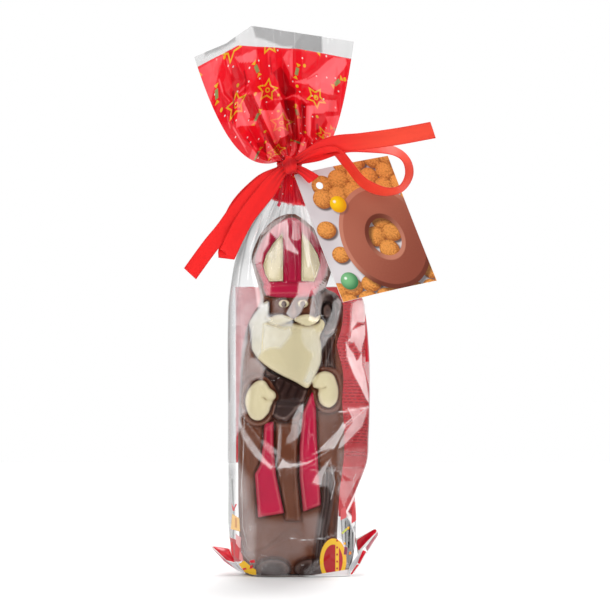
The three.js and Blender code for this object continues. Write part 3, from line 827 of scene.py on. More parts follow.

# Facets of the front film with painted glare: how strong, how soft their edge is in mm, and an outline.
PAINTED_GLARE_FACETS = [
    (0.45, 0.5, [(2, 225), (5, 226), (6, 210), (8.5, 188), (6.5, 184), (4, 198), (2.5, 208)]),
    (0.35, 0.5, [(5, 226), (7, 222), (8.5, 206), (7, 198), (5.5, 208)]),
    (0.30, 0.8, [(-21, 204), (-8.5, 213), (-6, 216.5), (-15, 212), (-21, 206.5)]),
    (0.48, 0.5, [(-17, 207), (-12.5, 210.5), (-6, 213.5), (-5, 209.5), (-5, 203.5), (-3.5, 200.5), (1, 194),
        (0.5, 193), (-6.5, 196), (-7.5, 202), (-9.5, 204.5), (-12, 202)]),
    (0.28, 0.5, [(-2.5, 213), (2, 213), (2, 202), (0, 201), (-3.5, 202), (-2.5, 207)]),
    (0.45, 0.8, [(-27, 188), (-24.5, 195), (-21, 202), (-17.5, 206.5), (-16, 206), (-17, 199), (-20, 194),
        (-21, 188.5), (-24.5, 187)]),
    (0.28, 0.8, [(-24.5, 187), (-21, 188), (-19, 182), (-15.5, 175), (-16, 168.5), (-20, 168.5),
        (-23, 178)]),
    (0.48, 0.8, [(-27, 188), (-24.5, 187), (-22, 177), (-20, 168.5), (-20, 161.5), (-23.5, 161.5),
        (-24.5, 171), (-27, 182)]),
    (0.40, 0.5, [(1, 176.5), (17.5, 177.5), (12.5, 174), (9, 172), (7, 169), (0, 168.5)]),
    (0.40, 0.5, [(0, 169), (8, 170), (6, 165), (3.5, 161), (2, 158), (-1, 155), (-3.5, 155), (-6.5, 158),
        (-4, 162.5), (-2.5, 165.5)]),
    (0.36, 0.5, [(14, 195), (17, 192), (18.5, 185.5), (18.5, 180), (14, 176.5), (10, 174.5), (11.5, 182),
        (14, 188)]),
    (0.50, 0.5, [(9, 172), (12.5, 174), (18, 177), (17, 173), (12.5, 170), (10, 169)]),
    (0.34, 0.6, [(9, 169), (14.5, 171), (15, 165), (14, 158), (12.5, 153), (7, 154), (8, 161.5)]),
    (0.27, 0.5, [(21.5, 165), (24.5, 167), (26.5, 165), (26, 160), (24, 153), (22, 146), (18.5, 143),
        (16, 138), (14.2, 136), (13.8, 143.5), (12.5, 146.5), (15.5, 148), (18.5, 154), (21, 160)]),
    (0.27, 2.0, [(-17, 193), (-10, 203), (-7.6, 200), (-8.6, 188), (-13, 178), (-17.4, 180)]),
    (0.26, 1.6, [(-33.6, 142), (-28, 142), (-27, 122), (-29, 100), (-33.6, 96)]),
    (0.12, 1.5, [(-14, 166), (-7, 167), (-8, 156), (-14, 156)]),
    (0.12, 1.5, [(5, 212), (12, 206), (14, 198), (6, 196)]),
    (0.14, 2.0, [(3.6, 203), (9, 199), (13, 190), (12, 180), (3.6, 180)]),
    (0.28, 0.9, [(-28, 131.5), (-23.5, 131), (-18.5, 125.5), (-20, 122.5), (-20.5, 118), (-23.5, 119.5),
        (-28, 117), (-30, 121)]),
    (0.36, 0.6, [(-35, 95.5), (-32.5, 90), (-28, 83.5), (-23.5, 77.5), (-17.5, 69.5), (-14, 66.5),
        (-15.5, 65), (-21, 69.5), (-25, 72.5), (-29.5, 78.5), (-33, 84.5), (-34, 89.5)]),
    (0.22, 0.5, [(-21, 83), (-17.5, 81), (-13, 77.5), (-11, 76), (-12.5, 74), (-17.5, 76), (-21, 80.5)]),
    (0.45, 0.4, [(-11.5, 66), (-8.5, 71.5), (-6.5, 69.5), (-3, 68.5), (5.5, 69.5), (9.5, 71), (7, 68.5),
        (2, 67.5), (-5.5, 66)]),
    (0.19, 0.5, [(-13, 68), (-11.5, 76), (-11, 87), (-10, 92.5), (-9, 87), (-9.5, 78), (-10, 72),
        (-12.5, 66.5)]),
    (0.28, 0.5, [(1, 103), (4, 104.5), (3.5, 94), (2.5, 88), (0, 83.5), (-3.5, 81), (-6.5, 80), (-6, 84),
        (-3.5, 88), (-2.5, 96)]),
    (0.24, 4, [(-35.5, 68), (-29.5, 60.5), (-27.5, 57), (-27, 39), (-35, 36)]),
    (0.30, 4, [(-35.5, 42), (-27, 42), (-24.5, 30), (-25.5, 8), (-35.5, 14)]),
    (0.06, 3, [(13, 106), (25, 106), (25, 80), (13, 80)]),
    (0.10, 3, [(-26, 44), (-17, 34), (3, 34), (5.5, 21), (4, 13), (-4, 11), (-6, -3), (-28, -2), (-33, 9)]),
    (0.42, 0.5, [(9, 74), (12, 75.5), (17, 79), (23.5, 86.5), (27.5, 93), (29, 90.5), (27.5, 86.5),
        (24.5, 81), (22, 77), (19, 77), (14, 75.5), (10, 74)]),
    (0.34, 0.6, [(30.5, 101), (42.5, 102), (42, 99), (39, 90), (32.5, 83.5), (27, 78), (24.5, 77), (26, 82),
        (29.5, 88), (33, 92.5), (33.5, 96.5)]),
    (0.58, 0.7, [(33, 164), (36.5, 165.5), (41.5, 165), (42, 154), (40, 152), (36, 152.5), (33.5, 149),
        (32, 147), (32.5, 156)]),
    (0.50, 0.5, [(32.5, 147.5), (36.5, 149.5), (41, 151), (41, 145), (39, 138), (38.5, 134), (36.5, 135.5),
        (34, 140.5), (31, 141), (29.5, 140.5), (32, 143.5)]),
    (0.56, 0.5, [(29, 140.5), (31, 137.5), (33.5, 134), (35.5, 129.5), (36.5, 130), (38.5, 134),
        (39, 131.5), (39, 126.5), (41, 120), (42.5, 110), (43, 104), (41.5, 106), (38, 113.5), (33.5, 122),
        (30, 131.5)]),
    (0.28, 0.6, [(39, 131.5), (43, 131), (44, 110), (41.5, 119.5), (39.5, 125.5)]),
    (0.08, 1.5, [(24.5, 76), (41.5, 77.5), (41.5, 66), (23.5, 65.5)]),
    (0.15, 0.5, [(24.5, 64), (28, 65.5), (41, 65), (38.5, 60.5), (35, 57), (33.5, 58), (29, 61)]),
    (0.21, 0.5, [(26, 57.5), (33.5, 57.5), (35.5, 57), (33, 52), (30, 47), (28, 40), (27, 45), (25, 50),
        (24, 53)]),
    (0.14, 0.7, [(17.5, 65), (22, 67), (23, 65), (21.5, 58), (20.5, 50), (19.5, 52), (19, 54.5), (14, 55),
        (15, 60)]),
    (0.33, 0.5, [(9, 57), (11.5, 62), (14.5, 65.5), (18, 69.5), (20.5, 71.5), (18, 66.5), (15.5, 60.5),
        (14.5, 55)]),
    (0.75, 0.4, [(38.5, 58), (35.5, 52), (32.5, 45), (29, 39), (31, 35), (33.5, 29.5), (35, 31), (33, 36),
        (30.5, 39), (34, 46), (37, 53)]),
    (0.55, 0.6, [(24.5, 23), (26.5, 23.5), (29, 18), (29, 12), (27, 8), (25, 15)]),
    (0.13, 3, [(3.5, 36), (12.5, 38), (15, 34), (14, 27), (10, 20), (3.5, 18)]),
    (0.08, 1, [(4, 4), (12.5, 11.5), (15.5, 2), (5, 0.5)]),
]

# Facets of the front film with a milky painted glare that hides part of what is behind it, in the same form.
MILKY_GLARE_FACETS = [
    (0.34, 1.0, [(-18.6, 157.6), (-9, 157.4), (-2.4, 154), (-2.6, 150.4), (-8, 149.6), (-17, 152)]),
    (0.34, 1.4, [(-20, 152), (-7, 149), (-4, 150.5), (-3, 146), (-6.5, 141), (-9.5, 137.5), (-16, 137.5),
        (-21, 135)]),
    (0.22, 1.4, [(2.5, 149), (9, 150.5), (12.5, 146), (14.5, 138), (14, 128), (8.5, 117), (5.5, 116),
        (4, 118), (7, 125.5), (9.5, 134), (5.5, 137.5), (3, 142)]),
    (0.54, 1.2, [(-29, 152), (-26, 157), (-21, 163), (-17, 164.5), (-17, 158), (-15, 154), (-20, 152),
        (-20.5, 144), (-21, 135), (-23.5, 131), (-27, 137), (-28, 144)]),
    (0.36, 0.8, [(-38, 173.6), (-23.5, 173.6), (-23.5, 161.5), (-27, 155.5), (-29, 150.5), (-38, 149.5)]),
    (0.42, 1.2, [(-38, 150.5), (-29, 151.5), (-29.5, 142), (-31, 136), (-33, 122), (-33.6, 104),
        (-33.6, 90), (-38, 80), (-38, 129)]),
]

# Sharp creases of the front film with a painted highlight: how bright, how wide and their line.
LIGHT_CREASES = [
    (0.55, 0.6, [(25, 99), (43.1, 101.4)]),
    (0.5, 0.6, [(30.4, 101.4), (33.4, 95.4), (26.2, 89.4), (14.1, 77.4)]),
    (0.4, 0.6, [(15.4, 78), (42.5, 102)]),
    (0.6, 0.6, [(34.6, 49.5), (28.8, 37.4), (31.8, 33.6), (34.4, 26), (34, 16)]),
    (0.6, 0.8, [(24.6, 22.8), (25.8, 16.2), (28.8, 9)]), (0.35, 0.5, [(-4, 23.6), (6, 22.4), (16, 23.8)]),
    (0.45, 0.6, [(2.8, 224), (4.2, 204), (9.6, 183), (11.4, 174.6)]),
    (0.35, 0.5, [(-21, 216), (-27.6, 196), (-29.4, 178)]),
    (0.3, 0.5, [(-14, 221), (-20.4, 208), (-25, 190)]),
    (0.3, 0.5, [(-34, 186), (-36.4, 165), (-37, 130), (-36.4, 96)]),
    (0.35, 0.5, [(-31.4, 96), (-32.2, 70), (-33.6, 48)]),
    (0.4, 0.5, [(-36.4, 59), (-33, 58), (-32.4, 30), (-30, 20)]),
    (0.4, 0.5, [(-38, 14), (-33, 15), (-28, 9), (-26, 3)]), (0.3, 0.5, [(-36, 21), (-34, 12), (-29, 6)]),
    (0.35, 0.5, [(17, 69.6), (21, 62), (23.4, 66)]), (0.4, 0.5, [(20, 69), (22.6, 57), (20.4, 47)]),
    (0.3, 0.5, [(32.6, 166), (31.6, 148), (29.4, 132)]), (0.35, 0.5, [(41, 150), (34.6, 141), (30.6, 140)]),
    (0.35, 0.5, [(40, 122), (33, 131), (29, 141)]), (0.3, 0.5, [(-26, 150), (-29, 136), (-29.6, 118)]),
    (0.25, 0.5, [(-9.6, 92), (-10.8, 82), (-12.4, 68), (-9.6, 61)]),
    (0.3, 0.5, [(-19.6, 70), (-11, 65.4), (8.8, 70)]),
    (0.3, 0.5, [(17.4, 152), (12.4, 160), (9.4, 169), (16.4, 173.4)]),
    (0.3, 0.5, [(24.4, 64), (33.6, 58), (35.4, 62)]),
]

# Painted shade on the front film, in dark creases and wide dark bands: how dark, how wide and their line.
PAINTED_SHADE_CREASES = [
    (0.30, 1.1, [(-37.8, 187.8), (-40.5, 165), (-41.1, 141), (-40.5, 126), (-40.8, 105)]),
    (0.28, 0.9, [(-27, 211.8), (-30, 201), (-33.6, 183), (-35.1, 171), (-36.6, 147)]),
    (0.20, 0.9, [(-21, 216), (-25.2, 198), (-27.6, 187.8)]), (0.74, 9.0, [(30.4, 34), (31, 22), (30.4, 8)]),
    (0.20, 7.0, [(-38.6, 62), (-38.2, 40), (-37, 18)]), (0.18, 9.0, [(35, 92), (34, 50)]),
    (0.10, 16.0, [(-1, 146), (-1, 126)]), (0.40, 0.5, [(26.6, 34), (27.2, 21)]),
    (0.36, 0.5, [(29, 33.4), (29.2, 19)]), (0.40, 0.5, [(31.4, 31), (31, 17)]),
    (0.45, 0.5, [(33.4, 26), (33.8, 13), (31.6, 6)]), (0.40, 0.6, [(24, 65.2), (41.6, 65.2)]),
    (0.50, 0.6, [(24.4, 60), (21.6, 52), (24.8, 46)]), (0.35, 0.6, [(22.8, 44), (22.2, 30), (23, 14)]),
    (0.30, 0.6, [(-38.8, 58), (-37.6, 36), (-38.6, 14)]), (0.30, 0.5, [(-34.6, 44), (-34, 24), (-31, 14)]),
]

PLEATS = 86
BAG_FOOT = 0.25
BAG_ROWS = 290
BAG_FRONT_COLUMNS = 236
BAG_BACK_COLUMNS = 74
CREASE_HEIGHT = 0.26
FILM_TOUCH = 0.12
# Heights between which the film passes from lying over the figure to being gathered at the neck.
GATHER_FOLDS = (168, 236)
GATHER_SHADE = (168, 200)
GATHER_STREAKS = (172, 205)
GATHER_ROUGH = (176, 205)


def crumple(u, v, spacing, seed):
    """Flat facets between scattered points, up and down by turns, from -1 to 1, over a plane in mm."""
    draw = np.random.default_rng(seed)
    spacing = np.array(spacing, float)
    low = np.array([u.min(), v.min()]) - 2 * spacing
    high = np.array([u.max(), v.max()]) + 2 * spacing
    counts = np.maximum(2, ((high - low) / spacing).astype(int))
    grid = np.stack(np.meshgrid(*(np.arange(n) for n in counts), indexing="ij"), axis=-1).reshape(-1, 2)
    spots = low + (grid + draw.uniform(0.05, 0.95, grid.shape)) * spacing
    heights = np.where(grid.sum(axis=1) % 2 == 0, 1, -1) * draw.uniform(0.2, 1, len(spots))
    flat = [Vector(p) for p in (spots / spacing).tolist()]
    triangles = geometry.delaunay_2d_cdt(flat, [], [], 0, 1e-5)[2]
    out = np.zeros(u.shape)
    for a, b, c in triangles:
        (ax, ay), (bx, by), (cx, cy) = spots[a], spots[b], spots[c]
        area = (bx - ax) * (cy - ay) - (cx - ax) * (by - ay)
        if abs(area) < 1e-9:
            continue
        near = (u >= min(ax, bx, cx)) & (u <= max(ax, bx, cx))
        near &= (v >= min(ay, by, cy)) & (v <= max(ay, by, cy))
        pu, pv = u[near], v[near]
        wb = ((pu - ax) * (cy - ay) - (cx - ax) * (pv - ay)) / area
        wc = ((bx - ax) * (pv - ay) - (pu - ax) * (by - ay)) / area
        wa = 1 - wb - wc
        hit = (wa > -1e-9) & (wb > -1e-9) & (wc > -1e-9)
        target = np.flatnonzero(near)[hit]
        out.ravel()[target] = (wa * heights[a] + wb * heights[b] + wc * heights[c])[hit]
    return out


def stretched(x, y):
    """The taut line over a row of heights: the upper hull of the points (x, y)."""
    keep = []
    for i in range(len(x)):
        while len(keep) > 1:
            a, b = keep[-2], keep[-1]
            if (x[b] - x[a]) * (y[i] - y[a]) >= (y[b] - y[a]) * (x[i] - x[a]):
                keep.pop()
            else:
                break
        keep.append(i)
    return np.interp(x, x[keep], y[keep])


def folded(folds, table, x, z):
    """A sheet of folds with a table's sharp creases added."""
    for line, height, width in table:
        folds = folds + height * tent(x, z, line, width)
    return folds


def zigzag(value):
    """A sharp wave between 0 and 1, one to each whole number."""
    return np.abs((value % 1) - 0.5) * 2


def neck_side(x, z):
    """How far a point is to the side of the neck, in half widths of the bag."""
    return (x - NECK_X) / (bag_left(z) + bag_right(z)) * 2


def creased(folds):
    """How sharply a sheet of folds bends at each point, from 0 to 1."""
    return np.clip(np.abs(folds - blurred(folds, 1.0, 1.0)) / CREASE_HEIGHT - 0.2, 0, 1)


def pleat_streaks(x, z):
    """Fine streaks that run down and out from the neck, from -1 to 1: painted glare above zero, painted shade
    below.
    """
    draw = np.random.default_rng(3)
    at = np.linspace(-1.4, 1.4, PLEATS)
    level = draw.uniform(-1, 1, PLEATS)
    start = draw.uniform(0, 6.28, PLEATS)
    speed = draw.uniform(0.03, 0.09, PLEATS)
    turn = neck_side(x, z)
    turn = turn + 0.03 * np.sin(z * 0.06 + 4 * turn)
    wave = np.sin(np.interp(turn, at, start) + z * np.interp(turn, at, speed))
    return np.interp(turn, at, level) * (0.55 + 0.45 * wave)


def film_shade(s, z):
    """How much the film darkens what is behind it: more in its side folds and where it is gathered."""
    wall = 0.09 * smoothstep(-0.86, -0.92, s)
    side = 0.12 * smoothstep(0.86, 1.0, np.abs(s))
    streaks = 0.06 * np.sin(21 * s + 2 * np.sin(5 * s)) + 0.03 * np.sin(z * 0.31 + s * 9)
    return 0.04 + wall + side + smoothstep(*GATHER_SHADE, z) * (0.18 + streaks)


def pleated(x, z, s, painted_glare, shade):
    """Painted glare and shade with painted pleat streaks over them, above the figure's shoulders and down the
    sides.
    """
    sides = 0.7 * smoothstep(0.82, 0.95, np.abs(s)) * smoothstep(30, 60, z)
    streak = pleat_streaks(x, z) * np.maximum(smoothstep(*GATHER_STREAKS, z), sides)
    return painted_glare + 0.34 * np.maximum(streak, 0) ** 1.5, shade + 0.26 * np.maximum(-streak, 0) ** 1.5


def painted_glare_field(table, x, z):
    """The painted glare of a table's facets at each point. Each facet is stronger towards one side of it."""
    field = np.zeros(x.shape)
    for k, (glare_strength, soft, outline) in enumerate(table):
        ox, oz = np.array(outline, float).T
        lean = math.cos(2.4 * k) * (x - ox.mean()) / np.ptp(ox)
        lean = lean + math.sin(2.4 * k) * (z - oz.mean()) / np.ptp(oz)
        level = glare_strength * (1 + 0.5 * np.clip(lean, -0.7, 0.7))
        field = np.maximum(field, level * smoothstep(-soft, soft, inside(outline, x, z)))
    return field


def bag_sheet(s, reach):
    """One side of the bag, from the foot up: x, z, the plain bag's depth and how free it is to fold."""
    z = np.linspace(BAG_FOOT, RUFF_Z, BAG_ROWS)[:, None]
    x = lerp(-bag_left(z), bag_right(z), (s + 1) / 2)
    profile = reach(z) * section(s, bag_power(z), 1 / bag_power(z))
    return x, np.broadcast_to(z, x.shape), profile, smoothstep(0, 0.10, 1 - np.abs(s))


def gathers(height, ribs, z):
    """Sharp folds that grow to a height in mm from the shoulders up to the neck."""
    return smoothstep(*GATHER_FOLDS, z) * height * (zigzag(ribs) - 0.5)


def bag_front_surface():
    """The front film, taut over the figure and creased: its points in mm and its layers."""
    half_turn = np.linspace(-1, 1, BAG_FRONT_COLUMNS)
    s = lerp(half_turn, np.sin(half_turn * math.pi / 2), 0.55)[None, :]
    x, z, profile, edge = bag_sheet(s, bag_front)
    relief, _ = figure_front(x - FIGURE_X, z - FIGURE_Z)
    held = np.maximum(profile, np.where(relief > 0, relief + FILM_GAP, 0))
    taut = np.stack([stretched(row_x, row_y) for row_x, row_y in zip(x, held)])
    taut = blurred(np.maximum(blurred(taut, 3.0, 2.0), held), 1.6, 1.6)
    figure_side = smoothstep(30, 37, np.abs(x - FIGURE_X))
    rough = lerp(0.12, 1.0, np.maximum(figure_side, smoothstep(*GATHER_ROUGH, z)))
    folds = folded(0.0, FRONT_CREASES, x, z)
    folds = folds + rough * 0.8 * crumple(x, z, (9.0, 17.0), 5)
    folds = folds + 0.25 * rough * crumple(x, z, (4.6, 7.0), 6)
    turn = neck_side(x, z)
    folds = folds + gathers(1.2, turn * 3.1 + 0.5 * np.sin(2.3 * turn), z)
    depth = taut + edge * smoothstep(0, 7, z) * folds
    depth = np.maximum(depth, np.where(relief > 0, relief + FILM_TOUCH, 0))
    shade = film_shade(s, z)
    for strength, width, line in PAINTED_SHADE_CREASES:
        shade = shade + strength * tent(x, z, line, width)
    # Painted glare of the facets, and a painted highlight where the film is sharply creased.
    painted_glare = np.maximum(painted_glare_field(PAINTED_GLARE_FACETS, x, z), 0.3 * creased(folds * edge))
    for strength, width, line in LIGHT_CREASES:
        painted_glare = np.maximum(painted_glare, painted_glare * 0.4 + strength * tent(x, z, line, width))
    painted_glare, shade = pleated(x, z, s, painted_glare, shade)
    return x, -depth, z, {"painted_glare": painted_glare, "milky_glare": painted_glare_field(MILKY_GLARE_FACETS, x, z), "shade": shade}


def bag_back_surface():
    """The back film, crumpled: its points in mm and its layers."""
    s = np.sin(np.linspace(1, -1, BAG_BACK_COLUMNS + 2)[None, 1:-1] * math.pi / 2)
    x, z, profile, edge = bag_sheet(s, bag_back)
    folds = 0.8 * crumple(x, z, (11.0, 20.0), 9) + 0.35 * crumple(x, z, (5.0, 8.0), 10)
    folds = folds + gathers(1.4, neck_side(x, z) * 2.7 + 0.3, z)
    # Painted highlight where the film is sharply creased, with the pleats' painted glare and shade.
    painted_glare, shade = pleated(x, z, s, 0.3 * creased(folds * edge), film_shade(s, z))
    depth = profile + edge * smoothstep(0, 7, z) * folds
    return x, depth, z, {"painted_glare": painted_glare, "milky_glare": np.zeros(x.shape), "shade": shade}


# Prints on the film

STAR_TURN = 2 * math.pi / 5
STAR_WAIST = 0.50
STAR_CORNER = (STAR_WAIST * math.cos(math.pi / 5), STAR_WAIST * math.sin(math.pi / 5))


def oval(x, y, cx, cy, rx, ry=None):
    """How far out a point is from the middle of an oval, in its radii."""
    a, b = (x - cx) / rx, (y - cy) / (ry or rx)
    return (a * a + b * b).root()


def cells(paint, x, y, size, seed):
    """Square cells over a plane: the place in a cell from its middle in mm, and the cell's random numbers."""
    column, row = (x / size).floor(), (y / size).floor()
    u, v = (((at / size).fract() - 0.5) * size for at in (x, y))
    return u, v, lambda pick: paint.random(paint.point(column, row, seed + pick))


def star_pattern(paint, x, y, cell, reach, seed):
    """Line stars, one to a cell, at random: the distance in mm to a star's outline and to its middle."""
    u, v, draw = cells(paint, x, y, cell, seed)
    slack = cell - 2 * reach
    u, v = u - (draw(3.1) - 0.5) * slack, v - (draw(7.7) - 0.5) * slack
    radius = (u * u + v * v).root()
    spin = draw(0.0)
    turn = (v.heading(u) + spin * (2 * math.pi)) / STAR_TURN
    angle = (turn.fract() - 0.5) * STAR_TURN
    size = (spin * 0.35 + 0.65) * reach
    tip_x, tip_y = radius * angle.cosine(), (radius * angle.sine()).abs()
    corner_x, corner_y = STAR_CORNER
    outline = ((tip_x - size) * corner_y + tip_y * (1 - corner_x)) / math.hypot(1 - corner_x, corner_y)
    return outline, radius


def dots(paint, x, y, spacing, radius, seed):
    u, v, draw = cells(paint, x, y, spacing, seed)
    slack = spacing * 0.6
    u, v = u - (draw(0.0) - 0.5) * slack, v - (draw(2.3) - 0.5) * slack
    return (u * u + v * v).root().step(radius + 0.12, radius - 0.12) * draw(5.9).step(0.42, 0.44)


def sweet_pattern(paint, x, y, cell, seed):
    """Small wrapped sweets, one to a cell: their middles and their twisted ends."""
    across, up, draw = cells(paint, x, y, cell, seed)
    spin = draw(0.0) * (2 * math.pi)
    u = (across * spin.cosine() + up * spin.sine()).abs()
    v = (up * spin.cosine() - across * spin.sine()).abs()
    middle = u.step(2.1, 1.9) * v.step(1.05, 0.85)
    end = (v - (u - 2.4) * 0.8).step(0.25, 0.05) * u.step(2.3, 2.5) * u.step(4.1, 3.9)
    return middle, end


def printed_color(paint, x, y):
    """Red ground with gold line stars, small wrapped sweets and gold and white dots."""
    outline, radius = star_pattern(paint, x, y, 25.0, 7.2, 1.0)
    gold = outline.abs().step(0.46, 0.30).most((radius - 1.1).abs().step(0.36, 0.22))
    middle, end = sweet_pattern(paint, x + 12.0, y + 10.0, 24.0, 4.0)
    color = paint.mix(dots(paint, x, y, 6.6, 0.42, 11.0), PRINT_RED, PRINT_WHITE)
    color = paint.mix(dots(paint, x + 4.0, y + 3.0, 12.0, 0.85, 17.0), color, PRINT_GOLD)
    color = paint.mix(middle, color, PRINT_GREEN)
    return paint.mix(gold.most(end), color, PRINT_GOLD)


# How much the painted glare hides what is behind it.
GLARE_BLOCKS = 0.22
LEAST_MIRRORED = 0.012
GLARE_WHITE = (0.95, 0.93, 0.93)
MILKY_GLARE_WHITE = (0.86, 0.88, 0.91)


def film_shader(paint, normal, gloss):
    """Clear film: what is behind it, darkened by its shade, with painted glare, milky painted glare and
    reflections.
    """
    cloud = paint.noise(12.0, 2.0, 0.5).step(0.3, 0.7) * 0.3 + 0.85
    glare = paint.layer("painted_glare") * cloud
    painted_glare = paint.matt(paint.mix(glare, BLACK, GLARE_WHITE), normal)
    clear = paint.clear((paint.layer("shade") * -1.0 + 1.0) * (glare * -GLARE_BLOCKS + 1.0))
    body = paint.blend(paint.layer("milky_glare") * cloud, paint.add(clear, painted_glare), paint.matt(MILKY_GLARE_WHITE, normal))
    return paint.blend(paint.mirror(LEAST_MIRRORED, normal), body, paint.glossy(gloss, normal))


LABEL_PITCH = 1.9
LABEL_WORD = 3.4
LABEL_GAPS = (74.4, 97.5, 119.1, 146.0)


def label_lines(paint, x, z):
    """Blocks of fine broken lines, as a label's small print looks from afar."""
    row = (z / LABEL_PITCH).floor()
    word = x / LABEL_WORD + paint.random(paint.point(row, 3.0, 1.0)) * 9.0
    gap = paint.random(paint.point(word.floor(), row, 2.0)) * 0.30 + 0.05
    inked = (word.fract() - gap).step(0.0, 0.06)
    thick = ((z / LABEL_PITCH).fract() - 0.5).abs().step(0.26, 0.16)
    inked = inked * thick * x.step(-31.0, -30.4) * z.step(68.0, 68.4) * z.step(168.4, 168.0)
    for middle in LABEL_GAPS:
        inked = inked * (z - middle).abs().step(2.3, 2.6)
    return inked


# Fields of colour printed on the front, most round the foot, and last a pale band of painted glare: a tint
# and a convex outline, anticlockwise.
FOOT_PATCHES = [
    ((0.46, 0.10, 0.105), [(-41.2, 11.0), (-37.4, 8.6), (-33.4, 9.2), (-33.6, 21.4), (-41.2, 23.4)]),
    ((0.86, 0.60, 0.25), [(-39.6, 28.4), (-33.9, 27.2), (-34.4, 35.2), (-38.8, 37.6)]),
    ((0.62, 0.36, 0.16), [(-37.2, 29.6), (-35.8, 29.2), (-35.9, 35.0), (-37.1, 35.4)]),
    ((0.76, 0.44, 0.44), [(-36.4, 18.4), (-33.8, 17.2), (-33.4, 23.6), (-36.6, 25.6)]),
    ((0.68, 0.02, 0.025), [(-40.4, 13.6), (-37.8, 12.0), (-38.6, 20.6), (-40.6, 19.8)]),
    ((0.60, 0.06, 0.07), [(-37.4, 12.2), (-35.0, 10.4), (-34.4, 17.2), (-36.8, 20.4)]),
    ((0.74, 0.30, 0.30), [(-34.6, 10.4), (-31.8, 8.8), (-32.8, 13.4), (-34.2, 15.6)]),
    ((0.62, 0.10, 0.11), [(-38.4, 39.4), (-37.0, 39.8), (-39.2, 44.0)]),
    ((0.62, 0.10, 0.11), [(-38.0, 39.4), (-35.6, 43.8), (-37.0, 43.4)]),
    (PRINT_GOLD, [(-34.8, 7.4), (-32.2, 3.8), (-28.6, 2.0), (-27.2, 6.2), (-31.6, 9.8)]),
    (PRINT_GOLD, [(-32.0, 3.0), (-28.6, 0.1), (-24.2, 0.1), (-24.4, 4.4), (-27.6, 6.4)]),
    ((0.66, 0.015, 0.025), [(-32.6, 3.8), (-30.0, 4.4), (-30.4, 5.6), (-32.4, 5.0)]),
    ((0.66, 0.015, 0.025), [(-28.4, 4.8), (-26.6, 5.2), (-26.4, 7.4), (-28.0, 6.8)]),
    ((0.66, 0.015, 0.025), [(-28.4, 8.6), (-25.0, 8.8), (-25.4, 10.6), (-28.2, 10.0)]),
    ((0.56, 0.008, 0.024), [(41.0, 128.6), (44.8, 128.6), (44.8, 150), (43.4, 166), (40.6, 166)]),
    ((0.62, 0.02, 0.06), [(-12.0, 222.0), (-10.6, 220.8), (-9.4, 222.8), (-10.4, 225.2)]),
    ((0.62, 0.02, 0.06), [(4.6, 222.4), (6.4, 219.8), (6.8, 222.6), (5.0, 224.6)]),
    ((0.46, 0.62, 0.10), [(26.4, 26.4), (27.4, 25.6), (30.4, 28.4), (29.6, 29.4)]),
    (PRINT_GOLD, [(30.0, 28.6), (31.2, 28.4), (31.4, 30.2), (30.0, 30.0)]),
    (PRINT_GOLD, [(27.8, 19.2), (29.2, 19.4), (29.0, 20.8), (27.8, 20.4)]),
    ((0.16, 0.02, 0.07), [(28.0, 13.4), (29.8, 13.0), (30.2, 17.6), (28.4, 18.2)]),
    ((0.82, 0.26, 0.02), [(31.0, 13.0), (32.6, 13.4), (32.4, 15.0), (31.2, 14.8)]),
    ((0.62, 0.03, 0.04), [(32.6, 31.8), (35.6, 33.4), (35.2, 45.2), (32.8, 43.6)]),
    ((0.62, 0.10, 0.11), [(26.0, 34.0), (29.6, 35.6), (29.2, 42.0), (26.2, 41.0)]),
    # A pale band of painted glare along the folded foot.
    ((0.74, 0.74, 0.74), [(-4.0, -0.3), (28.0, -0.3), (32.4, 2.6), (31.2, 4.4)]),
]
BAUBLE = (21.6, 9.8)
BAUBLE_SIZE = (8.0, 13.6)
BAUBLE_BAR = 24.0


def convex(x, z, corners):
    """How far inside a convex outline a point is, in mm."""
    least = None
    for (ax, az), (bx, bz) in zip(corners, corners[1:] + corners[:1]):
        length = math.hypot(bx - ax, bz - az)
        along_x, along_z = (bx - ax) / length, (bz - az) / length
        side = z * along_x - x * along_z + (ax * along_z - az * along_x)
        least = side if least is None else least.least(side)
    return least


def front_prints(paint, x, y, z, color):
    """Bright shapes printed on the front of the bag and a band of painted glare: their colour over the given
    one, and where they are.
    """
    front = y.step(8.0, 6.0)
    ring = oval(x, z, *BAUBLE, *BAUBLE_SIZE)
    bauble = ring.step(1.03, 0.97) * front
    from_bar = (x - BAUBLE_BAR).abs()
    band = (ring - 0.86).abs().step(0.16, 0.12).most(from_bar.step(1.2, 0.9))
    studs = (((z - 3.0) / 4.2).fract() - 0.5).abs().step(0.16, 0.12) * from_bar.step(0.6, 0.4)
    for where, tint in ((bauble, BAUBLE_RED), (bauble * band, PRINT_GOLD), (bauble * studs, BAUBLE_RED)):
        color = paint.mix(where, color, tint)
    patches = bauble
    for tint, corners in FOOT_PATCHES:
        shape = convex(x, z, corners).step(-0.15, 0.15) * front
        color = paint.mix(shape, color, tint)
        patches = patches.most(shape)
    return color, patches


BAG_INK_TINT = (0.95, 0.16, 0.18)
# The block bottom's greys are painted shade: the contact shadow along the foot.
SOLE_SHADE_DARK = (0.20, 0.16, 0.15)
SOLE_SHADE_PALE = (0.36, 0.32, 0.30)
SOLE_WHITE = (0.84, 0.83, 0.83)


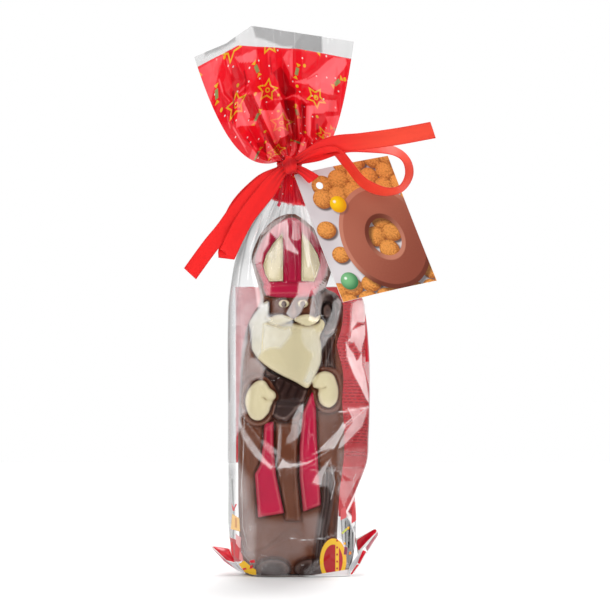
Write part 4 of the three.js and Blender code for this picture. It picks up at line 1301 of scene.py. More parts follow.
def bag_film():
    paint = Paint("clear_printed_film")
    x, y, z = paint.plane("Object")
    normal = paint.bump(paint.noise(9.0, 2.0, 0.5, stretch=(1, 1, 2.2)), 0.4, 0.3)
    wobble = (paint.noise(6.0, 2.0) - 0.5) * 0.8
    foot = (x + wobble - 20.0).step(4.6, 5.4) * 33.0
    label = y.step(6.0, 8.0) * x.step(-37.6, -36.8)
    label = label * (z + wobble + foot).step(64.6, 65.4) * (z + wobble).step(172.4, 171.6)
    upper = (z + (x - NECK_X) * 0.18 + wobble * 7.0).step(222.8, 224.0)
    # Near the neck the print turns a darker red in blotches.
    blotches = paint.noise(4.0, 2.0, 0.5, stretch=(1, 1, 3)).step(0.35, 0.6)
    color = paint.mix(label, printed_color(paint, x, z), LABEL_RED)
    color = paint.mix(label * label_lines(paint, x, z), color, LABEL_INK)
    color = paint.mix(upper * blotches, color, NECK_RED)
    color, patches = front_prints(paint, x, y, z, color)
    ink_and_glare = label.most(patches).most(upper)
    coat = paint.principled(color, 0.24, normal, Specular_IOR_Level=0.4)
    thin = paint.blend(patches * -0.24 + 0.32, coat, paint.clear(BAG_INK_TINT))
    return paint.done(paint.lit_through(paint.blend(ink_and_glare, film_shader(paint, normal, 0.05), thin)))


def bag_sole():
    """The folded block bottom, several layers thick, in dark greys as a painted contact shadow along the
    foot, whiter to the right.
    """
    paint = Paint("bag_block_bottom_painted_shade")
    x, _, _ = paint.plane("Object")
    grain = paint.noise(6.0, 3.0)
    color = paint.mix(grain.step(0.3, 0.7), SOLE_SHADE_DARK, SOLE_SHADE_PALE)
    color = paint.mix(x.step(2.0, 9.0), color, SOLE_WHITE)
    return paint.done(paint.principled(color, 0.35, paint.bump(grain, 0.3, 0.4)))


def build_bag_film():
    """Both sides of the film in one, closed at the foot and open at the neck."""
    front, back = bag_front_surface(), bag_back_surface()
    x, y, z = (np.concatenate(pair, axis=1) for pair in zip(front[:3], back[:3]))
    layers = {name: np.concatenate([front[3][name], back[3][name]], axis=1) for name in front[3]}
    faces = tube_faces(*x.shape)[:-1]
    kinds = np.zeros(len(faces), int)
    kinds[:x.shape[1]] = 1
    kinds[-1] = 1
    materials = [bag_film(), bag_sole()]
    return mesh_piece("bag_film", joined(x, y, z), faces, materials, layers, face_material=kinds)


# The ruff

# Its mouth: share of the width, and where that is.
RUFF_TOP = [
    (0, -61.4, 310.4), (0.20, -42, 318.6), (0.345, -27.5, 329.0), (0.66, 2.3, 324.4), (1, 34.0, 319.6),
]
# Two arcs that the sheet bends towards on its way up: x of both ends, z of the middle and z of both ends.
RUFF_ARCS = [((-31, 19.5), 259, (240.5, 243)), ((-46, 27), 283, (262, 270))]
RUFF_ROWS = 130
RUFF_COLUMNS = 230

# Folds of each layer at the mouth: share of the width, and how far forward.
FRONT_FOLDS = [
    (0, 0), (0.08, 2.6), (0.16, -2.6), (0.22, 2.0), (0.27, 4.2), (0.33, -1.0), (0.36, -4.2), (0.43, 3.4),
    (0.485, 4.4), (0.53, -4.6), (0.58, -2.8), (0.62, 2.4), (0.67, -3.0), (0.78, 3.2), (0.9, 1.0),
    (0.95, -1.6), (1, 0),
]
BACK_FOLDS = [
    (0, 0), (0.10, -2.4), (0.22, 2.2), (0.31, -2.6), (0.45, 2.6), (0.55, -2.2), (0.68, 2.4), (0.82, -2.8),
    (0.92, 1.6), (1, 0),
]

# Sharp creases of the ruff: a line in the picture plane, a height and a width. Below zero it folds in.
RUFF_CREASES = [
    ([(-27, 287.4), (-20.8, 273), (-16.6, 263), (-10, 252.6), (-5, 247.4)], -2.0, 3.2),
    ([(-6.3, 283.2), (-3, 270), (-1, 258)], -2.2, 3.4),
    ([(3.6, 283), (3.9, 262.8)], -1.8, 2.6),
    ([(-9.7, 304.8), (-5.4, 291), (-8.4, 285)], -1.8, 5.0),
    ([(-8.8, 281), (-7.8, 271), (-5.2, 264)], 1.6, 4.5),
    ([(7.2, 281), (6.9, 262)], 1.6, 3.5),
    ([(-33, 286), (-31, 277), (-30, 270)], 1.5, 4.5),
    ([(-2.4, 294.6), (9, 293.4), (22.2, 288.6)], 1.4, 3.6),
    ([(-2.4, 295.2), (6.6, 298.2), (18.6, 308.4)], -1.2, 4.0),
    ([(-4, 311.4), (-3.8, 297)], 0.9, 1.6),
    ([(-43.2, 312.6), (-48, 295.8), (-51.6, 281.4)], -1.3, 4.0),
    ([(-36.6, 309), (-31.2, 297), (-35.4, 290)], -1.5, 5.0),
    ([(-46.4, 297), (-43.9, 288), (-40.2, 284)], 0.9, 1.7),
    ([(-15.7, 293.6), (-9.3, 285.3)], 1.1, 1.9),
    ([(-18, 283), (-9.3, 285.3)], 0.9, 1.7),
    ([(-6.6, 285.7), (-2.8, 287.6), (0.8, 287.4), (5.7, 283.2)], 1.2, 1.8),
    ([(22, 288), (24, 276), (17, 266)], -1.2, 3.6),
    ([(-38, 272), (-32, 262), (-24, 256)], 1.3, 3.6),
]

# Facets of the ruff with painted light, a highlight above zero and painted shade in its folds below: how far,
# and an outline.
RUFF_LIGHT_SHADE_FACETS = [
    (0.55, [(-59.1, 303.9), (-56.4, 305.1), (-46.2, 310.5), (-43.2, 313), (-44.4, 309), (-46.8, 303),
        (-47.7, 297), (-49.5, 291), (-52, 281), (-54.3, 286.8), (-56.4, 292.8), (-58.8, 300)]),
    (0.8, [(-37.5, 310.2), (-34.2, 310.8), (-24.3, 315), (-24, 310.8), (-24.3, 307.5), (-30.6, 306.9),
        (-34.5, 306.9)]),
    (0.8, [(-26.1, 288.6), (-20.4, 289.8), (-21, 285), (-22.2, 279.6), (-24.6, 284.4)]),
    (0.65, [(-8.4, 310.2), (-6, 314), (-2.4, 315), (-2.4, 297.6), (-4.8, 301.8), (-7.2, 306.6)]),
    (0.8, [(6.3, 297.9), (11.7, 301.8), (18.3, 308), (22, 310.4), (29, 309.6), (30, 306.5), (27.6, 302.6),
        (24.6, 299.4), (22.8, 294), (21.6, 287.6), (16, 288.6), (9.6, 291.4), (7, 294), (-3, 295.2)]),
    (0.7, [(6, 281.4), (12, 281.4), (13.8, 284.9), (23.6, 284.7), (24.3, 277.8), (17.4, 277.8),
        (15.6, 276.6), (7.8, 276.6)]),
    (0.75, [(17.1, 274.8), (25, 275.6), (25.6, 272.4), (23, 266.4), (22.6, 262.8), (16.5, 261.3),
        (16.2, 265.8), (18.3, 271.2)]),
    (0.85, [(5.7, 281.4), (8.4, 280.8), (9.6, 277.8), (8.1, 274.2), (8.4, 268.2), (8.1, 263.4),
        (9.6, 260.4), (6, 264), (5.4, 270)]),
    (0.75, [(-0.8, 283.4), (0.6, 281.6), (2.1, 274.2), (2.4, 267), (1.8, 261), (0.6, 268.2), (0, 276)]),
    (0.9, [(-22, 278.6), (-14, 278.6), (-10, 283.6), (-8.4, 279.6), (-7.9, 274.2), (-7.5, 269.6),
        (-4.8, 265), (-6.2, 263.4), (-10.2, 261.8), (-11.6, 258.6), (-13.6, 258.8), (-14.6, 262),
        (-16.6, 266.6), (-19.4, 272.2)]),
    (0.85, [(-36, 285.4), (-33.4, 286.2), (-31, 282.2), (-29.4, 279), (-28, 276), (-28, 274.4),
        (-30, 272.2), (-24, 272.6), (-24.4, 270.2), (-28, 269.4), (-34, 269.2), (-36.2, 268), (-36.4, 271),
        (-35.4, 277)]),
    (0.65, [(-18.8, 259.8), (-16.2, 258.8), (-13.6, 254), (-12.4, 251), (-17.4, 249.8), (-18.6, 252.6)]),
    (0.75, [(-4.2, 259.4), (-0.4, 260.2), (0, 256.4), (-1.8, 252.4), (-4.4, 250.8), (-3.2, 255.8)]),
    (0.6, [(-11, 252.6), (-9, 255.2), (-7, 253), (-8.4, 250.4), (-10.4, 251.8)]),
    (0.6, [(-28.6, 250.4), (-25.6, 258), (-24, 255), (-24.6, 249.2), (-27, 248.2)]),
    (0.6, [(-26, 247.2), (-20, 247.4), (-12, 249.4), (-12.4, 248.2), (-19, 246.4)]),
    (0.65, [(1.8, 259.8), (5.6, 259.8), (5.6, 255.3), (1.8, 252), (0, 248.7), (1.2, 253.2)]),
    (0.5, [(-39.6, 272.4), (-28.8, 252.6), (-30, 253.2), (-34.8, 261.9), (-38.6, 269.4)]),
    (-0.6, [(-14.4, 301), (-9.7, 304.8), (-6, 299.1), (-4.2, 294.6), (-6.6, 288), (-9.7, 289.9),
        (-11.1, 295)]),
    (-0.7, [(-9.3, 292.8), (-4.2, 293.6), (0, 290.8), (-0.6, 288.6), (-6, 286.2), (-9.3, 289)]),
    (-0.5, [(-33, 287.6), (-27, 288.6), (-22.6, 280), (-19.6, 272), (-16.4, 265.4), (-13.8, 259.4),
        (-10, 253), (-5.4, 247.4), (-8, 247.8), (-13.2, 254.6), (-16.4, 258.6), (-19.6, 262.2),
        (-21.6, 266.4), (-24, 272.6), (-28, 274.6), (-30.4, 280.6)]),
    (-0.85, [(-18.6, 266), (-16.4, 264.4), (-13.4, 258.4), (-9.4, 252.4), (-4.4, 247.6), (-7.4, 247.8),
        (-12.6, 253.6), (-16.8, 259.6)]),
    (-0.8, [(-8, 285), (-1.4, 284.4), (-0.4, 277), (0.6, 268), (0.6, 261.4), (-0.8, 260.8), (-2.8, 265),
        (-4.6, 272), (-6.8, 278)]),
    (-0.7, [(2.4, 282), (5.2, 282.6), (5.2, 275.4), (4.6, 262.4), (3, 264.6), (3, 275.4)]),
    (-0.4, [(-38.4, 305.6), (-34.8, 304.2), (-31, 298.2), (-31, 293.6), (-34.8, 291.7), (-36.6, 288),
        (-38.4, 292.8), (-39.7, 298.8)]),
    (-0.3, [(-45, 289.4), (-38.6, 291), (-37.4, 284), (-38.2, 274), (-45, 277)]),
    (-0.4, [(-34.8, 283), (-33.6, 281), (-32.4, 277.4), (-34.4, 277.8)]),
    (-0.45, [(-24, 259.2), (-19.2, 260), (-18.6, 254), (-18, 249.4), (-24, 250)]),
    (-0.25, [(-20.2, 289.8), (-14.8, 292.4), (-9.6, 285.4), (-14, 278.8), (-21.4, 279)]),
    (-0.45, [(-10.4, 261.6), (-5.6, 263.6), (-0.8, 264), (-0.6, 260.4), (-4.4, 259.8), (-6.2, 256),
        (-9, 256.6), (-11.2, 258.4)]),
    (-0.25, [(9, 276.4), (16, 276.4), (17.6, 271), (16, 266), (16, 261.6), (9.8, 260.6), (8.6, 264),
        (8.6, 270)]),
    (-0.4, [(5.4, 262.4), (9, 259.6), (7.6, 256.6), (5.8, 255.6), (5.8, 259.8)]),
    (-0.4, [(-26, 247.8), (-18, 246), (-10.2, 243.3), (-9, 242.7), (-15.6, 244.4), (-23.4, 246)]),
]

# Thin lines of the ruff with a painted highlight above zero and painted shade below: how far, and the line.
RUFF_LINES = [
    (0.8, [(-46.4, 296.8), (-43.9, 288), (-40.2, 283.9)]),
    (0.7, [(-42, 309.4), (-40.8, 304.4), (-39, 300)]),
    (0.8, [(-34.8, 289), (-31.8, 291.7), (-29.1, 293.6)]), (0.7, [(-32.8, 288), (-27.7, 288.6)]),
    (0.9, [(-15.7, 293.6), (-12, 289.4), (-9.3, 285.3)]),
    (0.7, [(-18, 283), (-14.4, 284.8), (-9.3, 285.3)]),
    (0.9, [(-6.6, 285.7), (-2.8, 287.6), (0.4, 286.7), (1.8, 285.3)]), (0.9, [(0.8, 287.4), (5.7, 283.2)]),
    (0.9, [(-8.4, 278.7), (-4.6, 271.2), (-3, 265.2)]), (0.6, [(-4.1, 309.3), (-3.8, 297.3)]),
    (0.5, [(-31.8, 284), (-30.6, 277), (-31.4, 271)]), (0.6, [(-41.8, 279), (-41.2, 273), (-40, 268)]),
    (0.7, [(-24, 256), (-14, 249)]), (0.7, [(4.6, 262), (1.2, 252)]), (0.6, [(10, 262), (4, 251)]),
    (0.6, [(-38, 268), (-31, 257)]), (0.5, [(-12, 274), (-8.4, 266)]),
    (-0.8, [(-31.5, 302), (-30.2, 296), (-31, 290)]), (-0.6, [(-16, 310), (-15, 300)]),
    (-0.6, [(12, 300), (6, 297)]), (-0.8, [(-38, 290), (-37.6, 280), (-38.4, 270)]),
    (-0.8, [(-30, 262), (-23, 252)]), (-0.8, [(-19.4, 262), (-18.8, 255), (-17.8, 249.4)]),
    (-0.9, [(8, 258), (2.4, 250)]), (-0.9, [(-6.4, 257), (-5, 250.6)]), (-0.9, [(2.4, 262), (-0.6, 251)]),
    (-0.7, [(12, 270), (12.6, 262)]),
]
RUFF_LINE_WIDTH = 0.85

# Darker fields of the clear margin at the ruff's mouth.
MARGIN_FACETS = [
    (0.38, [(-27, 330), (3, 325), (3, 316), (-9, 316.8), (-17.4, 319.8), (-24.6, 322.2)]),
    (0.36, [(-54.6, 316.2), (-36.6, 324), (-36.6, 319.8), (-45, 315), (-55.2, 310.8)]),
    (0.44, [(3, 325), (15, 323), (15, 312.6), (-3.6, 315)]),
]

# The upper end of the print, and how high the print reaches on the sheet.
RUFF_PRINT = [(-61, 303.8), (-58.8, 304.8), (-35, 317.2), (2, 315), (36, 308.6)]
RUFF_PRINT_HEIGHT = 92
# The back layer's facets are the front's, turned over about half of this x.
RUFF_MIRROR = -24


def ruff_layer(folds, side, seed):
    """One layer of the ruff: side is -1 for the front and 1 for the back."""
    share = np.linspace(0, 1, RUFF_COLUMNS)[None, :]
    rise = np.linspace(0, 1, RUFF_ROWS)[:, None]
    across = 2 * share - 1
    stations = [(NECK_X + across * (NECK_RADIUS - 0.6), RUFF_Z - 0.8)]
    for (left, right), middle, (low, high) in RUFF_ARCS:
        stations.append((lerp(left, right, share), lerp(middle, lerp(low, high, share), across**2)))
    top_at, top_x, top_z = zip(*RUFF_TOP)
    stations.append((np.interp(share, top_at, top_x), np.interp(share, top_at, top_z)))
    weights = ((1 - rise) ** 3, 3 * rise * (1 - rise) ** 2, 3 * rise**2 * (1 - rise), rise**3)
    x, z = (sum(w * p[k] for w, p in zip(weights, stations)) for k in (0, 1))
    deep = smoothstep(0.0, 0.30, rise) * lerp(1.0, 0.45, smoothstep(0.35, 1.0, rise))
    fold = np.interp(share, *zip(*folds)) * deep * 1.15
    bulge = np.sqrt(np.maximum(0, 1 - across**2))
    puff = lerp(NECK_RADIUS - 0.8, 3.4, smoothstep(0, 0.35, rise)) * bulge
    dents = 0.9 * crumple(x, z, (13.0, 19.0), seed) + 0.35 * crumple(x, z, (5.0, 7.0), seed + 1)
    dents = folded(dents, RUFF_CREASES if side < 0 else RUFF_CREASES[::2], x, z)
    tight = zigzag(share * 8 + 0.9 * np.sin(5 * share) + 0.3 * np.sin(17 * share)) - 0.5
    gather = 1.1 * tight * smoothstep(0.34, 0.02, rise)
    folds = (fold + dents * smoothstep(0.02, 0.25, rise) + gather) * np.minimum(1, 2.2 * bulge)
    turned = x if side < 0 else RUFF_MIRROR - x
    light_and_shade = facets(RUFF_LIGHT_SHADE_FACETS, turned, z, 0.35)
    for value, line in RUFF_LINES:
        light_and_shade = light_and_shade + value * tent(turned, z, line, RUFF_LINE_WIDTH)
    shade = 0.15 + facets(MARGIN_FACETS, turned, z, 0.8) * (side < 0)
    margin = np.interp(x, *zip(*RUFF_PRINT)) - z - (1.2 if side > 0 else 0)
    # Painted glare where the ruff's sheet is sharply creased.
    painted_glare = 0.25 * creased(folds) + 0.05
    layers = {"painted_glare": painted_glare, "milky_glare": 0 * x, "light_and_shade": light_and_shade, "shade": shade, "margin": margin}
    return joined(x, side * puff - folds, z), joined(x, rise * RUFF_PRINT_HEIGHT), layers


# Painted light of the ruff: a highlight tint, a shade tint and a glint added over the coat.
RUFF_HIGHLIGHT = (1.0, 0.30, 0.33)
RUFF_SHADE = (0.34, 0.06, 0.20)
RUFF_GLINT = (0.20, 0.05, 0.055)
RUFF_INK_TINT = (0.95, 0.2, 0.2)


def ruff_film():
    paint = Paint("printed_ruff_film")
    u, v, _ = paint.plane("UV")
    normal = paint.bump(paint.noise(7.0, 2.0, 0.5), 0.4, 0.25)
    light_and_shade = paint.layer("light_and_shade")
    painted_highlight, deep = light_and_shade.step(0.0, 1.0), light_and_shade.step(0.0, -1.0)
    # Painted highlight where the facets are above zero and painted shade where below, with a painted glint.
    color = paint.mix(painted_highlight * 0.38, printed_color(paint, u, v), RUFF_HIGHLIGHT)
    color = paint.mix(deep * 0.9, color, RUFF_SHADE, "MULTIPLY")
    coat = paint.principled(color, 0.2, normal, Specular_IOR_Level=0.3)
    glint = paint.matt(paint.mix(painted_highlight, BLACK, RUFF_GLINT), normal)
    thin = paint.blend(0.10, paint.add(coat, glint), paint.clear(RUFF_INK_TINT))
    printed = paint.layer("margin").step(-0.3, 0.3)
    return paint.done(paint.blend(printed, film_shader(paint, normal, 0.08), thin))


def build_ruff():
    material = ruff_film()
    faces = grid_faces(RUFF_ROWS, RUFF_COLUMNS)
    for name, folds, side, seed in (("ruff_front", FRONT_FOLDS, -1, 21), ("ruff_back", BACK_FOLDS, 1, 31)):
        points, uv, layers = ruff_layer(folds, side, seed)
        order = faces if side < 0 else faces[:, ::-1]
        piece = mesh_piece(name, points, order, [material], layers, uv)
        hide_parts("bag")


# Folded corner flaps of the block bottom

FLAP_CELLS = 12
FLAP_THICK = 0.35
FLAP_BULGE = 0.6
FLAP_RIM = 0.42

FLAP_COLOURS = {
    "red": ((0.70, 0.006, 0.02), (0.48, 0.004, 0.018)),
    "pink": ((0.60, 0.26, 0.29), (0.44, 0.13, 0.16)),
    "white": ((0.60, 0.60, 0.62), (0.46, 0.46, 0.49)),
}

# Facets of each flap: its colour and its corners.
FLAPS = {
    "flap_right": [
        ("red", [(35.2, 6, 20.2), (47.2, -2, 27.6), (49.0, -3, 26.0), (36.6, -7, 12.4)]),
        ("pink", [(41.0, -6.0, 16.6), (48.8, -3, 26.2), (49.0, -4.4, 23.8), (42.2, -8.6, 13.6)]),
        ("red", [(36.0, -9.6, 7.4), (39.4, -6.6, 15.6), (42.4, -8.6, 14.4), (37.8, -11.0, 6.6)]),
        ("white", [(30.6, -14.4, 1.0), (31.6, -12.6, 6.4), (39.4, -6.6, 16.4), (36.0, -10, 7.4)]),
        ("red", [(31.4, -14.4, 1.0), (35.6, -10, 7.0), (38.0, -11.0, 6.8), (33.2, -14.2, 1.0)]),
    ],
    "flap_left": [
        ("red", [(-52.4, -2, 17.2), (-40.6, 3, 14.6), (-36.8, -9, 7.4), (-42.4, -7, 8.6)]),
        ("white", [(-42.4, -7, 8.6), (-36.8, -9, 7.4), (-30.6, -14.4, 1.7), (-35.0, -12, 3.0)]),
        ("pink", [(-52.4, -2, 17.2), (-42.4, -7, 8.6), (-35.0, -12, 3.0), (-43.6, -6.6, 8.0)]),
    ],
}


def flap_film(name, light, dark):
    """The flap's film: one colour with a paler rim at its cut and folded edges."""
    paint = Paint(name)
    grain = paint.noise(5.0, 2.0)
    field = paint.mix(grain.step(0.3, 0.7), light, dark)
    color = paint.mix(paint.layer("rim").step(FLAP_RIM, FLAP_RIM * 0.7), field, RIM_WHITE)
    return paint.done(paint.principled(color, 0.22, paint.bump(grain, 0.5, 0.5), Specular_IOR_Level=0.4))


def flap_facet(corners):
    """A slightly bulging facet: its points, its faces and how far each point is from its rim in mm."""
    n = FLAP_CELLS + 1
    share = np.linspace(0, 1, n)
    u, v = (way.reshape(-1, 1) for way in np.meshgrid(share, share))
    a, b, c, d = (np.array(corner, float) for corner in corners)
    sheet = (a * (1 - u) + b * u) * (1 - v) + (d * (1 - u) + c * u) * v
    out = np.cross(c - a, d - b)
    out /= np.linalg.norm(out)
    out = out if out[1] < 0 else -out
    sheet = sheet + out * (FLAP_BULGE * 16 * u * (1 - u) * v * (1 - v))
    wide, high = (min(map(np.linalg.norm, pair)) for pair in ((b - a, c - d), (d - a, c - b)))
    rim = np.minimum(np.minimum(u, 1 - u) * wide, np.minimum(v, 1 - v) * high).ravel()
    number = np.arange(n * n).reshape(n, n)
    ring = [*number[0], *number[1:, -1], *number[-1, -2::-1], *number[-2:0:-1, 0]]
    points, faces = thickened(sheet, grid_faces(n, n), zip(ring, ring[1:] + ring[:1]), out, FLAP_THICK)
    return points, faces, np.concatenate([rim, rim])


def build_flap(name, table):
    """A corner of the block bottom folded out, as crisp facets with the film's thickness."""
    forms = [flap_facet(corners) for _, corners in table]
    kinds = [list(FLAP_COLOURS).index(tint) for (tint, _), form in zip(table, forms) for _ in form[1]]
    points, faces, rims = merged(forms)
    materials = [flap_film(f"{tint}_flap_film", *colors) for tint, colors in FLAP_COLOURS.items()]
    return mesh_piece(name, points, faces, materials, {"rim": rims}, face_material=kinds)


# The ribbon

KNOT = (NECK_X + 0.4, -11.2, NECK_Z + 1.5)
KNOT_SIZE = (4.3, 4.2, 5.6)
KNOT_LEAN = 0.30
PINCHED = 0.5
PINCH_REACH = 20.0
CUT_REACH = 6.0
# How far the painted shade reaches out from the knot, and where the ribbon turns to its painted lit tint, in
# mm.
KNOT_SHADE_REACH = 13.0
RIBBON_TURNS_LIT = (10.0, 60.0)


def unit(rows):
    return rows / np.linalg.norm(rows, axis=1)[:, None]


def strip(points, width, phase, cup, cut=(0.0, 0.0), looped=False):
    """A ribbon along a line of (x, y, z, turn): points, faces and UV in mm. Turn 0 faces the front.

    It starts at the knot, where it is pinched, and ends there too if it is looped.
    """
    knots = np.array(points, float)
    length = np.linalg.norm(np.diff(knots[:, :3], axis=0), axis=1).sum()
    count = max(12, int(length / 0.9))
    line = spline(knots, count)
    middle, turn = line[:, :3], line[:, 3] * math.pi / 2
    along = unit(np.gradient(middle, axis=0))
    flat = unit(np.stack([-along[:, 2], np.zeros(count), along[:, 0]], axis=1))
    out = flat * np.cos(turn)[:, None] + np.array([0, -1, 0]) * np.sin(turn)[:, None]
    out = unit(out - along * (out * along).sum(1)[:, None])
    face = np.cross(out, along)
    side = np.linspace(-1, 1, 15)
    run = np.linspace(0, length, count)
    free = smoothstep(0, PINCH_REACH, np.minimum(run, length - run) if looped else run)
    width = width * lerp(PINCHED, 1.0, free)
    ripple = 0.35 * np.sin(run * 0.21 + phase)[:, None] * side + cup * (side**2 - 0.4)
    ripple = ripple + (1 - free)[:, None] * 0.5 * np.cos(side * 7 + phase)
    shift = lerp(cut[0], 0, np.minimum(run / CUT_REACH, 1))
    shift = shift + lerp(0, cut[1], np.clip((run - length + CUT_REACH) / CUT_REACH, 0, 1))
    base = middle[:, None, :] + out[:, None, :] * (side[None, :, None] * width[:, None, None] / 2)
    base = base + face[:, None, :] * ripple[:, :, None]
    base = base + along[:, None, :] * (shift[:, None] * side)[:, :, None]
    upper, under = (base + face[:, None, :] * (k * RIBBON_THICK / 2) for k in (1, -1))
    ring = np.concatenate([upper, under[:, ::-1]], axis=1)
    across = np.concatenate([side, side[::-1]]) * RIBBON_WIDTH / 2
    return ring.reshape(-1, 3), tube_faces(*ring.shape[:2]), joined(run[:, None], across[None, :])


def satin():
    paint = Paint("red_satin")
    u, v, _ = paint.plane("UV")
    weft, warp = (u * 9.0).sine() * 0.5 + 0.5, (v * 16.0).sine() * 0.5 + 0.5
    cloud = paint.noise(7.0, 2.0, at=paint.point(u, v), stretch=(7, 1, 1))
    selvedge = v.abs().step(4.3, 4.7)
    pleat = (v * 2.1 + cloud * 5.0).sine() * 0.5 + 0.5
    # Painted light: lighter and warmer to the right where lit, darker streaks of painted sheen, and painted
    # shade in pleats near the knot.
    color = paint.mix(paint.layer("lit_side"), RIBBON_RED, RIBBON_LIT)
    color = paint.mix(cloud.step(0.7, 0.3) * 0.2, color, RIBBON_SHADE)
    color = paint.mix(selvedge * 0.35, color, SELVEDGE_RED)
    color = paint.mix(paint.layer("knot_shade") * (pleat * 0.75 + 0.25), color, RIBBON_SHADE)
    normal = paint.bump(weft * 0.6 + warp * 0.4 + selvedge * 0.8, 0.06, 0.5)
    sheen = {"Sheen_Weight": 0.05, "Sheen_Roughness": 0.4, "Specular_IOR_Level": 0.2}
    return paint.done(paint.principled(color, weft * 0.08 + 0.46, normal, **sheen))


def round_grid(rows, columns, low, high):
    """The way along a form as a column of numbers, and the way round it as a row of angles."""
    angle = np.linspace(0, 2 * math.pi, columns, endpoint=False)
    return np.linspace(low, high, rows)[:, None], angle[None, :]


def knot_form():
    """The pulled knot: a wrapped, creased pad in front of the neck."""
    rows, columns = 30, 44
    t, a = round_grid(rows, columns, 0.02, 0.98)
    t = t * math.pi
    x, y, z = np.sin(t) * np.cos(a), np.sin(t) * np.sin(a), np.broadcast_to(np.cos(t), (rows, columns))
    crease = 1 + 0.09 * np.sin(5.5 * x + 1.4 * z) + 0.04 * np.sin(9 * x - 3 * z)
    px, py, pz = (at * size * crease for at, size in zip((x, y, z), KNOT_SIZE))
    rx = px * math.cos(KNOT_LEAN) - pz * math.sin(KNOT_LEAN)
    rz = px * math.sin(KNOT_LEAN) + pz * math.cos(KNOT_LEAN)
    points = joined(KNOT[0] + rx, KNOT[1] - 3.4 + py, KNOT[2] + rz)
    return points, tube_faces(rows, columns), joined(a * 14, t * 2.4 - 3.8)


def neck_band():
    """The ribbon's turn round the neck, bunched to less than its width."""
    rows, columns = 13, 64
    v, a = round_grid(rows, columns, -1, 1)
    radius = NECK_RADIUS + 0.75 + 0.35 * np.cos(3 * math.pi * v) * (1 - v**2)
    skin = np.concatenate([radius + 0.3, (radius - 0.1)[::-1]])
    rise = np.concatenate([v, v[::-1]])
    points = joined(NECK_X + skin * np.cos(a), skin * np.sin(a), NECK_Z + 3.2 * rise + 0.5 * np.sin(a))
    last = (2 * rows - 1) * columns
    faces = grid_faces(2 * rows, columns, closed=True).tolist()
    faces += [[last + c, last + (c + 1) % columns, (c + 1) % columns, c] for c in range(columns)]
    return points, faces, joined(a * 7, np.concatenate([v, v]) * 4)


def build_ribbon():
    """The whole ribbon: two tails, two loops, a short end, the knot and its turn round the neck."""
    x, y, z = KNOT
    right_tail = strip([
        (x, y - 1, z + 0.5, 0.5), (8, -14, 253, 0.45), (20, -16, 258, 0.25), (38, -15, 260, 0.04),
        (60, -13, 263, 0.02), (81, -11, 266.8, 0.05),
    ], RIBBON_WIDTH, 0.4, 0.4, (0, -0.8))
    right_loop = strip([
        (x, y, z, 0.4), (10, -11.6, 252.6, 0.62), (22, -12.4, 254.6, 0.7), (30, -13, 246.6, 0.62),
        (37.2, -13.4, 237.6, 0.6), (42.3, -13, 233.6, 0.62), (52.8, -12, 230, 0.66), (62.1, -11, 232, 0.68),
        (67, -9.5, 240.5, 0.7), (65.2, -8.8, 249, 0.7), (58, -9, 254.4, 0.62), (30, -10.5, 257, 0.5),
        (x, y + 1, z + 1, 0.3),
    ], RIBBON_WIDTH, 1.4, 0.25, looped=True)
    left_loop = strip([
        (x, y - 1.2, z, 0.2), (-10, -14, 241, 0.1), (-19, -14.6, 229.5, 0.05), (-30, -14.6, 215.5, 0.05),
        (-36.6, -13.6, 203.5, 0), (-40.6, -11.6, 195, 0), (-41.8, -10, 192.6, 0), (-41.6, -8, 195.5, 0),
        (-40.6, -7.4, 207, 0), (-34.6, -8, 221, 0.05), (-22, -9.6, 234, 0.1), (x, y + 1, z, 0.2),
    ], RIBBON_WIDTH + 0.4, 2.2, 0.3, looped=True)
    left_tail = strip([
        (x, y + 0.6, z, 0.2), (-15.6, -12.6, 238.6, 0.1), (-28.6, -12.8, 227, 0), (-37.6, -12.4, 216, 0),
        (-43.8, -11.8, 207.4, 0), (-51.4, -11, 198.2, 0), (-63.8, -10.6, 181.2, 0),
    ], RIBBON_WIDTH - 0.4, 3.1, 0.3, (0, 0.6))
    short_end = strip([
        (x, y - 1.4, z - 0.6, 0.2), (2.5, -14.2, 242.6, 0.1), (10.2, -12, 237.2, 0.1),
    ], RIBBON_WIDTH - 2.6, 0.0, 0.9, (0, 1.0))
    forms = (right_tail, right_loop, left_loop, left_tail, short_end, knot_form(), neck_band())
    points, faces, uv = merged(forms)
    # Painted shade that fades out from the knot.
    from_knot = np.linalg.norm((points - KNOT) * (1, 0.5, 1), axis=1)
    knot_shade = np.exp(-((from_knot / KNOT_SHADE_REACH) ** 2))
    layers = {"knot_shade": knot_shade, "lit_side": smoothstep(*RIBBON_TURNS_LIT, points[:, 0])}
    return mesh_piece("satin_bow", points, faces, [satin()], layers, uv)


# The hanging card

CARD_CORNER = np.array([-1.4, -9.4, 240.2])
CARD_ACROSS = np.array([56.4, 32.0, 11.2])
CARD_DOWN = np.array([29.8, -24.0, -74.4])
CARD_CELLS = (60, 88)
CARD_HOLE = (0.2, 0.12)
CARD_HOLE_RADIUS = 2.3

RING = (43.0, 50.0)
RING_SIZE = (29.5, 34.0)
RING_MIDDLE = 0.68

# Colours of the card. A pair is two tints that a pattern mixes.
CARD_GROUND = ((0.70, 0.66, 0.67), (0.52, 0.46, 0.48))
BISCUIT = ((0.80, 0.33, 0.075), (0.34, 0.095, 0.022))
BISCUIT_SHADOW = (0.055, 0.020, 0.014)
RING_FLAT = ((0.40, 0.125, 0.078), (0.25, 0.062, 0.038))
RING_BEVEL = ((0.52, 0.20, 0.13), (0.15, 0.036, 0.022))
RING_SHADOW = (0.03, 0.014, 0.012)
SWEET_SHADOW = (0.12, 0.06, 0.05)
SWEET_SHINE = (0.95, 0.95, 0.92)
CARD_WHITE = ((0.80, 0.79, 0.77), (0.86, 0.85, 0.83))

